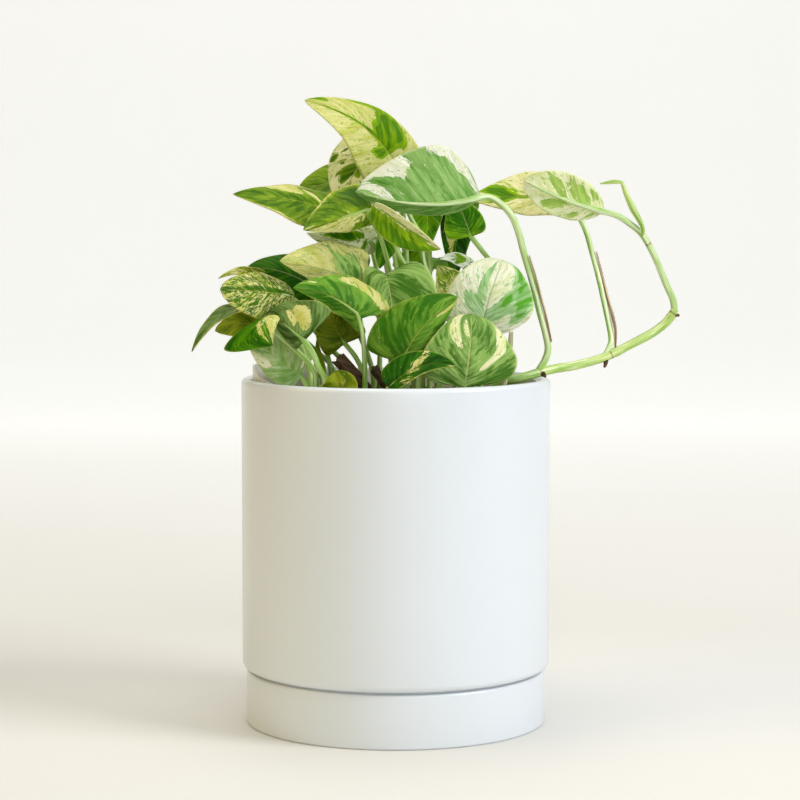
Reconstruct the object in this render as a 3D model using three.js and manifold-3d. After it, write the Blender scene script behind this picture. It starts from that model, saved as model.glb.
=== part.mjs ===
// Variegated pothos in a white glazed cylinder pot on its saucer.
// Millimetres, +Z up, the underside of the saucer at z = 0, its middle at the origin.
// The viewer of the reference stands on the -Y side, with +X to the right.
import * as THREE from 'three';
import * as BufferGeometryUtils from 'three/addons/utils/BufferGeometryUtils.js';
import Module from 'manifold-3d';

const wasm = await Module();
wasm.setup();

// Driving dimensions of the holder.
const gap = 0.3;
const potRadius = 67.5;
const potWall = 4.2;
const potTop = 151.2;
const potShoulder = 24.2;
const potFloor = 6;
const potCorner = 3;
const footRadius = 60;
const drainRadius = 6;
const saucerRadius = 65.7;
const saucerTop = 23.2;
const saucerWall = 4;
const saucerFloor = 5;
const ringSegments = 48;

// Driving dimensions of the liner and what fills it.
const linerRadius = 62.6;
const linerWall = 1;
const linerTop = 149.6;
const linerFlare = 7;
const linerFlareAngle = Math.PI;
const linerFlareFront = 0.42;
const linerFlareBack = 1.1;
const linerRim = 10;
const linerDraft = 8;
const linerSegments = 40;
const mixTop = 141.5;
const mixTilt = 0.016;
const mixCrown = 1.6;
const mixRipple = 0.5;
const mixSegments = 28;

// Driving dimensions of the plant.
const bladeThickness = 0.7;
const petioleRadius = 1.2;
const vineRadius = 2.1;
const stubRadius = 1.3;
const rootDepth = 6;
const petioleSides = 5;
const holeClearance = 0.7;
const marginSpacing = 1.35;
const lobeEnd = 0.45;
const rowLean = 0.35;
const waveCount = 2.2;
const waveOffset = 1.3;

const glaze = { color: 0xf1f1ee, roughness: 0.3, metalness: 0 };
const clearPlastic = { color: 0xe6ebf0, roughness: 0.35, metalness: 0 };
const darkMix = { color: 0x33261b, roughness: 0.95, metalness: 0 };
const barkBrown = { color: 0x4a3320, roughness: 0.9, metalness: 0 };
const leafGreen = { color: 0x4f8f2a, roughness: 0.45, metalness: 0 };
const stemGreen = { color: 0x86b548, roughness: 0.5, metalness: 0 };

const plant = new THREE.Group();

function addNode(name, geometry, finish) {
  const mesh = new THREE.Mesh(geometry, new THREE.MeshStandardMaterial(finish));
  mesh.name = name;
  plant.add(mesh);
  return mesh;
}

// A closed geometry as a solid for joining and cutting.
function toSolid(geometry) {
  const bare = geometry.clone();
  bare.deleteAttribute('normal');
  bare.deleteAttribute('uv');
  const merged = BufferGeometryUtils.mergeVertices(bare, 1e-4);
  return new wasm.Manifold(new wasm.Mesh({
    numProp: 3,
    vertProperties: new Float32Array(merged.attributes.position.array),
    triVerts: new Uint32Array(merged.index.array),
  }));
}

function toGeometry(solid) {
  const mesh = solid.getMesh();
  const geometry = new THREE.BufferGeometry();
  geometry.setAttribute('position', new THREE.BufferAttribute(new Float32Array(mesh.vertProperties), 3));
  geometry.setIndex(new THREE.BufferAttribute(new Uint32Array(mesh.triVerts), 1));
  geometry.computeVertexNormals();
  return geometry;
}

// A ring-shaped or solid body of revolution about Z from a profile of [radius, height].
function turned(profile, segments) {
  const points = profile.map(([radius, height]) => new THREE.Vector2(radius, height));
  const geometry = new THREE.LatheGeometry(points, segments);
  geometry.rotateX(Math.PI / 2);
  return geometry;
}

// Points of a quarter round from one angle to another about a centre in a profile.
function quarterRound(centreRadius, centreHeight, radius, from, to, steps) {
  return Array.from({ length: steps + 1 }, (_, step) => {
    const angle = from + ((to - from) * step) / steps;
    return [centreRadius + radius * Math.cos(angle), centreHeight + radius * Math.sin(angle)];
  });
}

// The holder: a straight cylinder with a soft lip, a rounded foot corner and a drain hole.
function makePot() {
  const lip = potWall / 2;
  const lipCentre = potRadius - lip;
  const inner = potRadius - potWall;
  const footBase = saucerFloor + gap;
  const profile = [
    [drainRadius, footBase],
    [footRadius, footBase],
    [footRadius, potShoulder],
    ...quarterRound(potRadius - potCorner, potShoulder + potCorner, potCorner, -Math.PI / 2, 0, 2),
    ...quarterRound(lipCentre, potTop - lip, lip, 0, Math.PI, 5),
    [inner, footBase + potFloor],
    [drainRadius, footBase + potFloor],
    [drainRadius, footBase],
  ];
  addNode('pot', turned(profile, ringSegments), glaze);
}

function makeSaucer() {
  const edge = 1;
  const inner = saucerRadius - saucerWall;
  const profile = [
    [0, 0],
    [saucerRadius - edge, 0],
    [saucerRadius, edge],
    [saucerRadius, saucerTop - edge],
    [saucerRadius - edge, saucerTop],
    [inner, saucerTop],
    [inner, saucerFloor],
    [0, saucerFloor],
  ];
  addNode('saucer', turned(profile, ringSegments), glaze);
}

// The liner rises above the lip on the left, where the soft plastic has sprung out, and less
// and less on round the back.
function linerRise(angle) {
  const away = Math.atan2(Math.sin(angle - linerFlareAngle), Math.cos(angle - linerFlareAngle));
  const spread = away < 0 ? linerFlareBack : linerFlareFront;
  return linerFlare * Math.exp(-((away / spread) ** 2));
}

function makeLiner() {
  const base = saucerFloor + gap + potFloor + gap;
  const footWidth = linerRadius - linerDraft;
  const profile = [
    [0, base],
    [footWidth, base],
    [linerRadius, linerTop - linerRim],
    [linerRadius, linerTop],
    [linerRadius - linerWall, linerTop],
    [linerRadius - linerWall, linerTop - linerRim],
    [footWidth - linerWall, base + linerWall],
    [0, base + linerWall],
  ];
  const geometry = turned(profile, linerSegments);
  const position = geometry.attributes.position;
  for (let index = 0; index < position.count; index += 1) {
    if (position.getZ(index) > linerTop - 1) {
      const angle = Math.atan2(position.getY(index), position.getX(index));
      position.setZ(index, position.getZ(index) + linerRise(angle));
    }
  }
  addNode('liner', geometry, clearPlastic);
  return { base, footWidth };
}

// A tapering round tube through points, closed at both ends, with a radius for each point.
function taperedTube(points, radii, sides, steps) {
  const curve = new THREE.CatmullRomCurve3(points, false, 'centripetal');
  const frames = curve.computeFrenetFrames(steps, false);
  const positions = [];
  const indices = [];
  for (let step = 0; step <= steps; step += 1) {
    const centre = curve.getPointAt(step / steps);
    const along = curve.getUtoTmapping(step / steps) * (radii.length - 1);
    const low = Math.min(Math.floor(along), radii.length - 2);
    const radius = THREE.MathUtils.lerp(radii[low], radii[low + 1], along - low);
    for (let side = 0; side < sides; side += 1) {
      const angle = (2 * Math.PI * side) / sides;
      const point = centre.clone()
        .addScaledVector(frames.normals[step], radius * Math.cos(angle))
        .addScaledVector(frames.binormals[step], radius * Math.sin(angle));
      positions.push(point.x, point.y, point.z);
    }
  }
  for (let step = 0; step < steps; step += 1) {
    for (let side = 0; side < sides; side += 1) {
      const next = (side + 1) % sides;
      const a = step * sides + side;
      const b = step * sides + next;
      indices.push(a, b, b + sides, a, b + sides, a + sides);
    }
  }
  const last = steps * sides;
  for (let side = 1; side < sides - 1; side += 1) {
    indices.push(0, side + 1, side);
    indices.push(last, last + side, last + side + 1);
  }
  const geometry = new THREE.BufferGeometry();
  geometry.setAttribute('position', new THREE.Float32BufferAttribute(positions, 3));
  geometry.setIndex(indices);
  return geometry;
}

const toVector = ([x, y, z]) => new THREE.Vector3(x, y, z);

// Outline of a heart-shaped blade: q runs from the petiole joint round the margin to the tip.
// It gives the place of the rib on the midrib, and of its end on the margin, along and across.
// A fullness under 1 rounds the blade out, a taper over 0.7 moves its widest place towards the
// tip, and the lobe sets how far the base reaches back.
function outline(leaf, q) {
  const along = q ** marginSpacing;
  const back = q < lobeEnd ? (leaf.lobe ?? 0.16) * Math.sin((Math.PI * q) / lobeEnd) : 0;
  return {
    rib: along * (1 - rowLean * (1 - q)),
    margin: along - back,
    across: Math.sin(Math.PI * q ** (leaf.taper ?? 0.7)) ** (leaf.fullness ?? 0.8),
  };
}

// The midrib is a parabola through the joint, the middle and the tip.
function midrib(leaf, t) {
  const base = toVector(leaf.base);
  const mid = toVector(leaf.mid);
  const tip = toVector(leaf.tip);
  const slope = base.clone().multiplyScalar(-3).addScaledVector(mid, 4).sub(tip);
  if (t < 0) {
    return { point: base.clone().addScaledVector(slope, t), tangent: slope.normalize() };
  }
  const point = base.multiplyScalar((1 - t) * (1 - 2 * t))
    .addScaledVector(mid, 4 * t * (1 - t))
    .addScaledVector(tip, t * (2 * t - 1));
  const tangent = toVector(leaf.base).multiplyScalar(4 * t - 3)
    .addScaledVector(mid, 4 - 8 * t)
    .addScaledVector(tip, 4 * t - 1);
  return { point, tangent: tangent.normalize() };
}

// A point of the blade, across from -1 to 1. Each half rises from the midrib by its fold,
// bends on by its cup, and waves more towards the margin.
function bladePoint(leaf, along, across) {
  const { point, tangent } = midrib(leaf, along);
  const face = toVector(leaf.face);
  face.addScaledVector(tangent, -face.dot(tangent)).normalize();
  const side = new THREE.Vector3().crossVectors(tangent, face);
  const half = across > 0 ? 0 : 1;
  const reach = Math.abs(across) * leaf.width[half];
  const slope = (leaf.fold?.[half] ?? 0.15) + ((leaf.cup?.[half] ?? -0.25) * Math.abs(across)) / 2;
  const wave = (leaf.wave ?? 0.6) * across * across
    * Math.sin(2 * Math.PI * waveCount * along + waveOffset * Math.sign(across));
  return point
    .addScaledVector(side, Math.sign(across) * reach * Math.cos(slope))
    .addScaledVector(face, reach * Math.sin(slope) + wave);
}

// The closed thin blade: the same triangles on both faces and a strip round the margin.
function makeBlade(leaf) {
  const rows = leaf.rows ?? 6;
  const columns = leaf.columns ?? 2;
  const middle = [bladePoint(leaf, 0, 0)];
  for (let row = 1; row < rows; row += 1) {
    const { rib, margin, across } = outline(leaf, row / rows);
    for (let column = -columns; column <= columns; column += 1) {
      const part = Math.abs(column) / columns;
      const sweep = (leaf.sweep?.[column > 0 ? 0 : 1] ?? 0) * across * part;
      middle.push(bladePoint(leaf, rib + (margin - rib) * part + sweep, (across * column) / columns));
    }
  }
  middle.push(bladePoint(leaf, 1, 0));

  const span = 2 * columns + 1;
  const last = middle.length - 1;
  const faces = [];
  for (let column = 0; column < span - 1; column += 1) {
    faces.push([0, 1 + column, 2 + column]);
    faces.push([last, last - span + column + 1, last - span + column]);
  }
  for (let row = 0; row < rows - 2; row += 1) {
    for (let column = 0; column < span - 1; column += 1) {
      const a = 1 + row * span + column;
      const b = a + 1;
      const c = a + span;
      if (column < columns) {
        faces.push([a, c, c + 1], [a, c + 1, b]);
      } else {
        faces.push([a, c, b], [b, c, c + 1]);
      }
    }
  }

  const sheet = new THREE.BufferGeometry().setFromPoints(middle);
  sheet.setIndex(faces.flat());
  sheet.computeVertexNormals();
  const normals = sheet.attributes.normal;
  const positions = [];
  for (const offset of [bladeThickness / 2, -bladeThickness / 2]) {
    middle.forEach((point, index) => {
      const normal = new THREE.Vector3().fromBufferAttribute(normals, index);
      positions.push(...point.clone().addScaledVector(normal, offset).toArray());
    });
  }

  const count = middle.length;
  const border = [0];
  for (let row = 0; row < rows - 1; row += 1) {
    border.push(1 + row * span);
  }
  border.push(last);
  for (let row = rows - 2; row >= 0; row -= 1) {
    border.push(row * span + span);
  }
  const indices = [];
  for (const [a, b, c] of faces) {
    indices.push(a, b, c, a + count, c + count, b + count);
  }
  border.forEach((from, index) => {
    const to = border[(index + 1) % border.length];
    indices.push(from, from + count, to, to, from + count, to + count);
  });

  const geometry = new THREE.BufferGeometry();
  geometry.setAttribute('position', new THREE.Float32BufferAttribute(positions, 3));
  geometry.setIndex(indices);
  return geometry;
}

// A blade fused with its petiole. The petiole runs on under the midrib for a third of it.
function makeLeaf(leaf, cutters = []) {
  const radius = leaf.stalk ?? petioleRadius;
  const keel = [0.36, 0.2, 0.08].map((t) => {
    const { point, tangent } = midrib(leaf, t);
    const face = toVector(leaf.face);
    face.addScaledVector(tangent, -face.dot(tangent)).normalize();
    return point.addScaledVector(face, -radius * (0.35 + 0.2 * (0.36 - t)));
  });
  const stalk = leaf.petiole.map(toVector);
  const foot = stalk[stalk.length - 1];
  if (leaf.rooted !== false) {
    stalk.push(new THREE.Vector3(foot.x, foot.y, mixTop + 3));
    stalk.push(new THREE.Vector3(foot.x, foot.y, mixTop - rootDepth));
  }
  const points = [...keel, ...stalk];
  const radii = points.map((_, index) => radius * Math.min(1, 0.42 + 0.2 * index));
  const steps = leaf.steps ?? Math.max(5, points.length - 2);
  const tube = toSolid(taperedTube(points, radii, petioleSides, steps));
  let solid = toSolid(makeBlade(leaf)).add(tube);
  for (const cutter of cutters) {
    solid = solid.subtract(cutter);
  }
  addNode(leaf.name, toGeometry(solid), leafGreen);
  if (leaf.rooted !== false) {
    holes.push({ x: foot.x, y: foot.y, radius: radius + holeClearance });
  }
}

const holes = [];

// The leaves in view, front to back as they hang. base, mid and tip lie on the midrib, face is
// the way the upper side looks, width is the two half widths, right of the midrib first.
const leaves = [
  {
    name: 'leaf_small_rolled',
    base: [-3, -56, 151], mid: [11, -57, 160], tip: [25, -55, 160],
    face: [0, -0.95, 0.3], width: [7, 8], fold: [0.5, 0.1], cup: [0.7, -0.3], wave: 0.3,
    lobe: 0.05, petiole: [[-4, -55, 149]],
  },
  {
    name: 'leaf_front_heart',
    base: [29, -47, 150.5], mid: [31, -48, 166], tip: [32, -43, 181],
    face: [0.3, -0.94, 0.1], width: [24, 20], fold: [-0.1, -0.05], lobe: 0.03, fullness: 0.5,
    sweep: [0.09, 0.02], rows: 8, columns: 3, petiole: [[29, -46, 148.6]], steps: 5,
  },
  {
    name: 'leaf_front_broad',
    base: [2, -45, 160], mid: [11, -47, 175], tip: [26, -41, 188],
    face: [-0.2, -0.95, 0.25], width: [9, 19], fold: [-0.4, 0], cup: [-0.4, -0.3], lobe: 0.16,
    fullness: 0.65, rows: 8, columns: 3, petiole: [[1, -43, 154]],
  },
  {
    name: 'leaf_marble_round',
    base: [36, -24, 170], mid: [39.5, -27, 187], tip: [46, -23, 203],
    face: [0.05, -0.98, 0.2], width: [20, 18], fold: [0, 0.1], lobe: 0, fullness: 0.5,
    taper: 0.95, sweep: [0.12, 0], rows: 8, columns: 3,
    petiole: [[33, -22, 160], [30, -24, 153]],
  },
  {
    name: 'leaf_olive_speckle',
    base: [29, 2, 184], mid: [24, 3, 192], tip: [18, 4, 200],
    columns: 1, face: [0, -0.95, 0.3], width: [9, 9],
    petiole: [[29, 2, 172], [26, 0, 152]],
  },
  {
    name: 'leaf_heart_down',
    base: [-4, -25, 197], mid: [-2, -29.5, 187], tip: [0, -35, 175],
    face: [0.05, -0.85, 0.5], width: [11, 20], fold: [0.1, 0.1], lobe: 0.36, rows: 9,
    taper: 0.95, fullness: 0.9, sweep: [0, 0.1],
    petiole: [[-3, -16, 194], [-2, -13, 186], [0, -12, 173], [-1, -14, 153]],
  },
  {
    name: 'leaf_long_middle',
    base: [-14, -39.5, 179], mid: [-26, -42, 188], tip: [-43, -46, 192],
    face: [-0.1, -0.85, 0.5], width: [13, 7], fold: [0.05, -0.8], lobe: 0.34,
    petiole: [[-13.5, -36, 168], [-13, -35, 154]],
  },
  {
    name: 'leaf_speckled_left',
    base: [-14, -24, 193], mid: [-31, -30, 199], tip: [-49, -34, 203],
    face: [-0.05, -0.8, 0.6], width: [18, 8], fold: [0.05, -0.7],
    petiole: [[-10, -18, 189], [-7, -20, 177], [-7, -24, 153]],
  },
  {
    name: 'leaf_dark_left',
    base: [-34, 6, 189], mid: [-49, 4, 197], tip: [-65, 0, 199],
    face: [0, -0.75, 0.65], width: [13, 12], fold: [0, -0.3],
    petiole: [[-25, 8, 183], [-15, 8, 167], [-10, 6, 152]],
  },
  {
    name: 'leaf_marbled_left',
    base: [-43, -28, 188], mid: [-58, -34, 190], tip: [-74, -38, 191],
    face: [-0.1, -0.8, 0.6], width: [11, 12], fold: [0, -0.2], fullness: 0.6, lobe: 0,
    taper: 1.2,
    petiole: [[-38, -20, 181], [-34, -14, 173], [-30, -14, 164], [-28, -16, 155]],
  },
  {
    name: 'leaf_curled_tip',
    base: [-58, -12, 196.5], mid: [-67, -16, 198], tip: [-76, -20, 195],
    columns: 1, face: [0, -0.8, 0.6], width: [2.6, 2.2], wave: 0.2,
    petiole: [[-50, -10, 189], [-42, -8, 180], [-30, -6, 166], [-20, -2, 154]],
  },
  {
    name: 'leaf_far_left',
    base: [-57, -12, 180], mid: [-74, -20, 180], tip: [-87, -26, 164],
    face: [-0.3, -0.5, 0.8], width: [6, 6],
    petiole: [[-46, -12, 173], [-35, -9, 164], [-27, -8, 155]],
  },
  {
    name: 'leaf_olive_round',
    base: [-55, -24, 175], mid: [-66, -26, 176], tip: [-77, -28, 173],
    face: [0, -0.95, 0.3], width: [6, 8], fullness: 0.6,
    petiole: [[-46, -26, 172], [-40, -30, 168], [-37, -34, 160], [-36, -38, 154]],
  },
  {
    name: 'leaf_front_left',
    base: [-55.5, -45, 179.5], mid: [-54, -49, 174], tip: [-51, -51, 168],
    face: [-0.1, -0.85, 0.5], width: [21, 7], fold: [-0.3, -0.2], lobe: 0, fullness: 1.1,
    taper: 0.9, sweep: [0, -0.35], rows: 8, columns: 3,
    petiole: [[-54.5, -38, 178], [-51, -34.5, 173], [-44, -35, 167], [-34, -41, 156]],
  },
  {
    name: 'leaf_patched',
    base: [-38, -45, 170], mid: [-44, -44.5, 175], tip: [-53, -39, 182],
    face: [0.1, -0.98, 0.1], width: [17, 7], fold: [0.12, -0.6], lobe: 0.2, fullness: 0.5, stalk: 1.4,
    petiole: [[-35, -44, 165], [-32, -44, 158], [-30, -43, 154]],
  },
  {
    name: 'leaf_in_liner',
    base: [-40, -31, 154], mid: [-52, -25, 162], tip: [-64, -17, 172],
    face: [0.1, -0.95, 0.2], width: [13, 9], fullness: 0.6, lobe: 0.05,
    petiole: [[-38, -32, 150]],
  },
  {
    name: 'leaf_under_long',
    base: [-22, -18, 167], mid: [-27, -18, 176], tip: [-33, -16, 187],
    face: [0, -0.95, 0.3], width: [11, 10],
    petiole: [[-17, -20, 161], [-14, -22, 154]],
  },
  {
    name: 'leaf_yellow',
    base: [-24, -52, 149.5], mid: [-24, -52, 153], tip: [-26, -51, 157],
    face: [0, -0.97, 0.2], width: [8, 8], lobe: 0, fullness: 0.5,
    petiole: [[-24, -51, 148.4]], steps: 5,
  },
  {
    name: 'leaf_sliver',
    base: [-32, -20, 153], mid: [-33, -19, 160], tip: [-34, -18, 169],
    columns: 1, face: [0, -1, 0.1], width: [2.5, 2.5], wave: 0.1, stalk: 0.9,
    petiole: [[-31.5, -20, 150]], steps: 5,
  },
  {
    name: 'leaf_folded',
    base: [-10, -25, 225.5], mid: [-24, -31, 221], tip: [-39, -36, 216],
    face: [0, -0.9, 0.45], width: [15, 8], fold: [-0.1, -0.8],
    petiole: [[-3, -27, 218], [1, -24, 206], [4, -20, 200], [7, -16, 181], [9, -14, 153]],
  },
  {
    name: 'leaf_under_folded',
    base: [-10, -7.5, 211], mid: [-23, -13.5, 211], tip: [-38, -21, 214.5],
    face: [0, -0.87, -0.45], width: [7, 7],
    petiole: [[-5, -6, 203], [-3, -2, 181], [-2, -5, 152]],
  },
  {
    name: 'leaf_pale_under',
    base: [-2, 13, 213], mid: [-14, 12, 212], tip: [-26, 11, 214],
    columns: 1, face: [0, 0.9, -0.3], width: [8, 8],
    petiole: [[0, 10, 201], [2, 8, 176], [2, 8, 152]],
  },
  {
    name: 'leaf_draped',
    base: [-9, -40, 227], mid: [4, -42, 217], tip: [19, -40, 208],
    face: [-0.1, -0.95, 0.2], width: [9, 5], fold: [-0.1, 1.1], taper: 1.1, lobe: 0.04,
    petiole: [[-11, -36, 223], [-7, -26, 214], [-3, -16, 200], [2, -10, 177], [3, -12, 153]],
  },
  {
    name: 'leaf_top',
    base: [1, 8, 242], mid: [-14, -2, 260], tip: [-39, -14, 271],
    face: [-0.2, -0.85, 0.5], width: [12.5, 16], fold: [0.15, 0.15], lobe: 0.12, fullness: 0.7,
    rows: 8, columns: 3,
    petiole: [[6, 6, 222], [11, 4, 212], [12, 2, 202], [17, 0, 189], [19, -4, 168], [18, -8, 152]],
  },
  {
    name: 'leaf_spotted_back',
    base: [-7, 18, 251], mid: [-19, 13, 239], tip: [-21, 10, 222],
    face: [-0.15, -0.95, 0.25], width: [14, 12],
    petiole: [[-1, 20, 243], [4, 18, 215], [5, 12, 185], [5, 7, 160], [5, 7, 152]],
  },
  {
    name: 'leaf_round_back',
    base: [-18, 34, 234], mid: [-30, 33, 236], tip: [-44, 30, 231],
    face: [0, -0.8, 0.6], width: [11, 9], fullness: 0.6,
    petiole: [[-10, 34, 227], [-4, 28, 202], [-2, 18, 171], [-2, 14, 153]],
  },
  {
    name: 'leaf_left_pointed',
    base: [-25, 0, 223], mid: [-47, -6, 229], tip: [-70, -12, 231],
    face: [-0.1, -0.6, 0.8], width: [12, 15], fold: [0.1, 0],
    petiole: [[-16, 4, 219], [-9, 6, 201], [-7, 4, 176], [-7, 0, 152]],
  },
  {
    name: 'leaf_under_arch',
    base: [32, -14, 213], mid: [29, -12, 222], tip: [24, -8, 233],
    face: [0, -0.97, 0.2], width: [8, 10], lobe: 0.05,
    petiole: [[37, -14, 207], [41, -12, 201], [42, -6, 177], [37, -10, 152]],
  },
  {
    name: 'leaf_hanging_green',
    base: [14, 10, 230], mid: [14, 9, 219], tip: [15, 6, 208],
    columns: 1, face: [0, -0.97, 0.2], width: [7, 7],
    petiole: [[14, 14, 226], [15, 16, 200], [15, 14, 153]],
  },
  {
    name: 'leaf_hanging_striped',
    base: [28, 14, 227], mid: [26.5, 12, 211], tip: [26, 10, 193],
    columns: 1, face: [0, -0.97, 0.2], width: [7.5, 7.5],
    petiole: [[28.6, 17.5, 221], [30.6, 19.5, 200], [31.2, 18.2, 153]],
  },
  {
    name: 'leaf_dark_triangle',
    base: [-4, -10, 213], mid: [-6, -12, 206], tip: [-7, -14, 199],
    columns: 1, face: [0, -0.97, 0.2], width: [3.5, 6], wave: 0.2, stalk: 0.8,
    petiole: [[-1, -7, 211], [6, -3, 190], [10, -2, 153]],
  },
  {
    name: 'leaf_small_tip',
    base: [32, -8, 201], mid: [25, -10, 204], tip: [19, -12, 203],
    columns: 1, face: [0, -0.95, 0.3], width: [2.5, 3.5], wave: 0.2, stalk: 0.8,
    petiole: [[35, -6, 196], [36, -2, 178], [34, -4, 152]],
  },
  {
    name: 'leaf_behind_stalks',
    base: [3, 22, 197], mid: [8, 22, 203], tip: [13, 22, 208],
    columns: 1, face: [0, -0.95, 0.3], width: [5, 6], wave: 0.3, stalk: 0.8,
    petiole: [[0, 24, 190], [-2, 24, 170], [-2, 22, 152]],
  },
  {
    name: 'leaf_back_right',
    base: [31, 38, 177], mid: [39, 48, 176], tip: [48, 60, 164],
    face: [0.3, 0.5, 0.8], width: [12, 12],
    petiole: [[24, 30, 170], [20, 26, 152]],
  },
  {
    name: 'leaf_back_low',
    base: [8, 40, 176], mid: [5, 53, 177], tip: [1, 68, 166],
    face: [0, 0.5, 0.85], width: [13, 13],
    petiole: [[8, 32, 168], [8, 28, 152]],
  },
  {
    name: 'leaf_back_left',
    base: [-30, 34, 192], mid: [-38, 45, 195], tip: [-46, 58, 186],
    face: [-0.3, 0.5, 0.8], width: [11, 12],
    petiole: [[-18, 28, 186], [-4, 28, 172], [5, 32, 152]],
  },
  {
    name: 'leaf_back_middle',
    base: [16, 32, 198], mid: [19, 44, 202], tip: [22, 58, 193],
    face: [0.1, 0.5, 0.85], width: [10, 10],
    petiole: [[12, 24, 191], [8, 20, 170], [8, 20, 152]],
  },
  {
    name: 'leaf_back_upper',
    base: [3, 36, 238], mid: [0, 48, 238], tip: [-4, 60, 229],
    face: [0, 0.5, 0.85], width: [12, 13],
    petiole: [[2, 28, 231], [4, 26, 200], [3, 24, 170], [4, 22, 152]],
  },
  {
    name: 'leaf_back_side',
    base: [22, 28, 226], mid: [29, 40, 227], tip: [34, 54, 216],
    face: [0.2, 0.5, 0.85], width: [11, 11],
    petiole: [[16, 22, 218], [13, 21, 190], [12, 16, 152]],
  },
];

for (const leaf of leaves) {
  makeLeaf(leaf);
}

// Short root nubs on the vine, each below the foot of a stalk or at its very end.
const nubs = [
  { route: [[62.5, -20.5, 154.6], [63.6, -23, 153.8], [64, -24.4, 153.2]], radii: [1.3, 0.9, 0.5] },
  { route: [[91.2, -8, 160.5], [91, -9, 157.6], [90.4, -9.4, 156.2]], radii: [1.3, 0.9, 0.5] },
  { route: [[120.6, 1.4, 178], [122.8, 1, 178.4], [124, 0.8, 178.2]], radii: [1, 0.8, 0.5] },
];

// The vine leaves the mix on the right, rests on the lip and reaches out past it.
const vineRoute = [
  [38, -24, mixTop - rootDepth], [38, -24, mixTop + 2], [46, -25, 151.2], [53, -25, 152.7],
  [61, -21, 154.6], [68, -17, 156], [76.5, -14, 157.1], [90.8, -8, 160.6], [103.7, -4, 166.5],
  [112.8, 0, 171.1], [118.5, 1.5, 175.5], [122, 2, 180],
];
const vineClearance = toSolid(taperedTube(
  vineRoute.map(toVector), vineRoute.map(() => vineRadius + gap), 8, 26,
));
let vine = toSolid(taperedTube(vineRoute.map(toVector), vineRoute.map(() => vineRadius), 8, 26));
for (const nub of nubs) {
  vine = vine.add(toSolid(taperedTube(nub.route.map(toVector), nub.radii, 6, 4)));
}
addNode('vine', toGeometry(vine), stemGreen);
holes.push({ x: 37.6, y: -24, radius: vineRadius + 2 * holeClearance });

const vineLeaves = [
  {
    name: 'leaf_arch',
    base: [36, -22, 230], mid: [11, -27, 227], tip: [-17, -30, 232],
    face: [0, 0.97, 0.2], width: [9, 25.5], fold: [0.9, 0.1], lobe: 0, fullness: 0.55, taper: 1.05,
    rows: 10, columns: 3, stalk: 1.6, steps: 20,
    petiole: [
      [39.8, -22, 229.8], [44.9, -22, 226.9], [49.2, -22, 222.2], [52.2, -22, 215.4],
      [54.8, -21, 206], [58.8, -20, 192.7], [61.8, -20, 180.7], [64.5, -20, 170.8],
      [65.4, -20, 164.8], [64.1, -20, 160.1], [61, -21, 155],
    ],
    rooted: false,
  },
  {
    name: 'leaf_vine_back',
    base: [75, 8, 229], mid: [54, 6, 230], tip: [32, 2, 229],
    face: [0, -0.85, 0.5], width: [13, 9.5], sweep: [0, 0.12], stalk: 1.35, steps: 14,
    petiole: [
      [79, 9, 223], [82.9, 7, 216], [85.9, 5, 205.8], [88.4, 2, 195.9], [91.6, -2, 180.8],
      [93.3, -4, 172.1], [93.6, -6, 167], [90.8, -8, 161],
    ],
    rooted: false,
  },
  {
    name: 'leaf_vine_tip',
    base: [90, -4, 224], mid: [73, -8, 229], tip: [55, -10, 237],
    face: [0, 0.9, 0.35], width: [9, 11.5], steps: 14, lobe: 0, fullness: 0.5, taper: 1.4,
    rows: 8, columns: 3, stalk: 1.5,
    petiole: [
      [96.4, -4, 221.6], [101.7, -3, 218.2], [106.6, -2, 214.2], [112.1, 0, 205.5],
      [118.4, 1, 191.1], [121.2, 2, 185], [122, 2, 179.5],
    ],
    rooted: false,
  },
];
for (const leaf of vineLeaves) {
  makeLeaf(leaf, [vineClearance]);
}

// The rolled new leaf stands on the last stalk, with its thin tip bent over to the left.
const shootRoute = [
  [106.9, -4.6, 213], [107.2, -4.9, 216], [102.5, -3.5, 225.5], [99.6, -3, 232], [98, -3, 236.5],
];
const shootTip = [[98, -3, 236.2], [95, -3.2, 236.4], [91, -3.6, 236], [88.6, -4, 235.6]];
const lastLeaf = vineLeaves[2];
const lastStalk = lastLeaf.petiole.map(toVector);
const stalkClearance = toSolid(taperedTube(lastStalk, lastStalk.map(() => lastLeaf.stalk + gap), 8, 14));
const shootBody = toSolid(taperedTube(shootRoute.map(toVector), [0.7, 1.1, 1.5, 1.2, 0.75], 6, 8));
const shootLeaf = toSolid(taperedTube(shootTip.map(toVector), [0.75, 1.1, 0.9, 0.35], 6, 4));
addNode('new_shoot', toGeometry(shootBody.add(shootLeaf).subtract(stalkClearance)), stemGreen);

// Dried sheaths cling to the right of the stalks on the vine, and one bare stalk stub is left.
const sheaths = [
  {
    name: 'sheath_first', along: 0,
    route: [[57, -22.2, 205], [60.6, -21.4, 193], [64.3, -21.2, 179], [66.7, -21.2, 168]],
    radii: [0.45, 0.6, 0.7, 0.5],
  },
  {
    name: 'sheath_second', along: 1,
    route: [[87.7, 4, 206], [91.9, -0.6, 188], [95.4, -4.8, 173], [95.4, -6.6, 164.6]],
    radii: [0.4, 0.8, 1, 0.6],
  },
];
for (const sheath of sheaths) {
  const leaf = vineLeaves[sheath.along];
  const stalk = leaf.petiole.map(toVector);
  const clearance = toSolid(taperedTube(stalk, stalk.map(() => leaf.stalk + gap), 8, 20));
  const strip = toSolid(taperedTube(sheath.route.map(toVector), sheath.radii, 5, 8));
  addNode(sheath.name, toGeometry(strip.subtract(clearance).subtract(vineClearance)), barkBrown);
}
const stubRoute = [[46, -33, mixTop - rootDepth], [46, -33, 150], [48, -33, 160], [49, -33, 173]];
const stubRadii = [stubRadius, stubRadius, stubRadius, 0.8 * stubRadius];
addNode('dried_stub', taperedTube(stubRoute.map(toVector), stubRadii, 6, 6), barkBrown);
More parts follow.
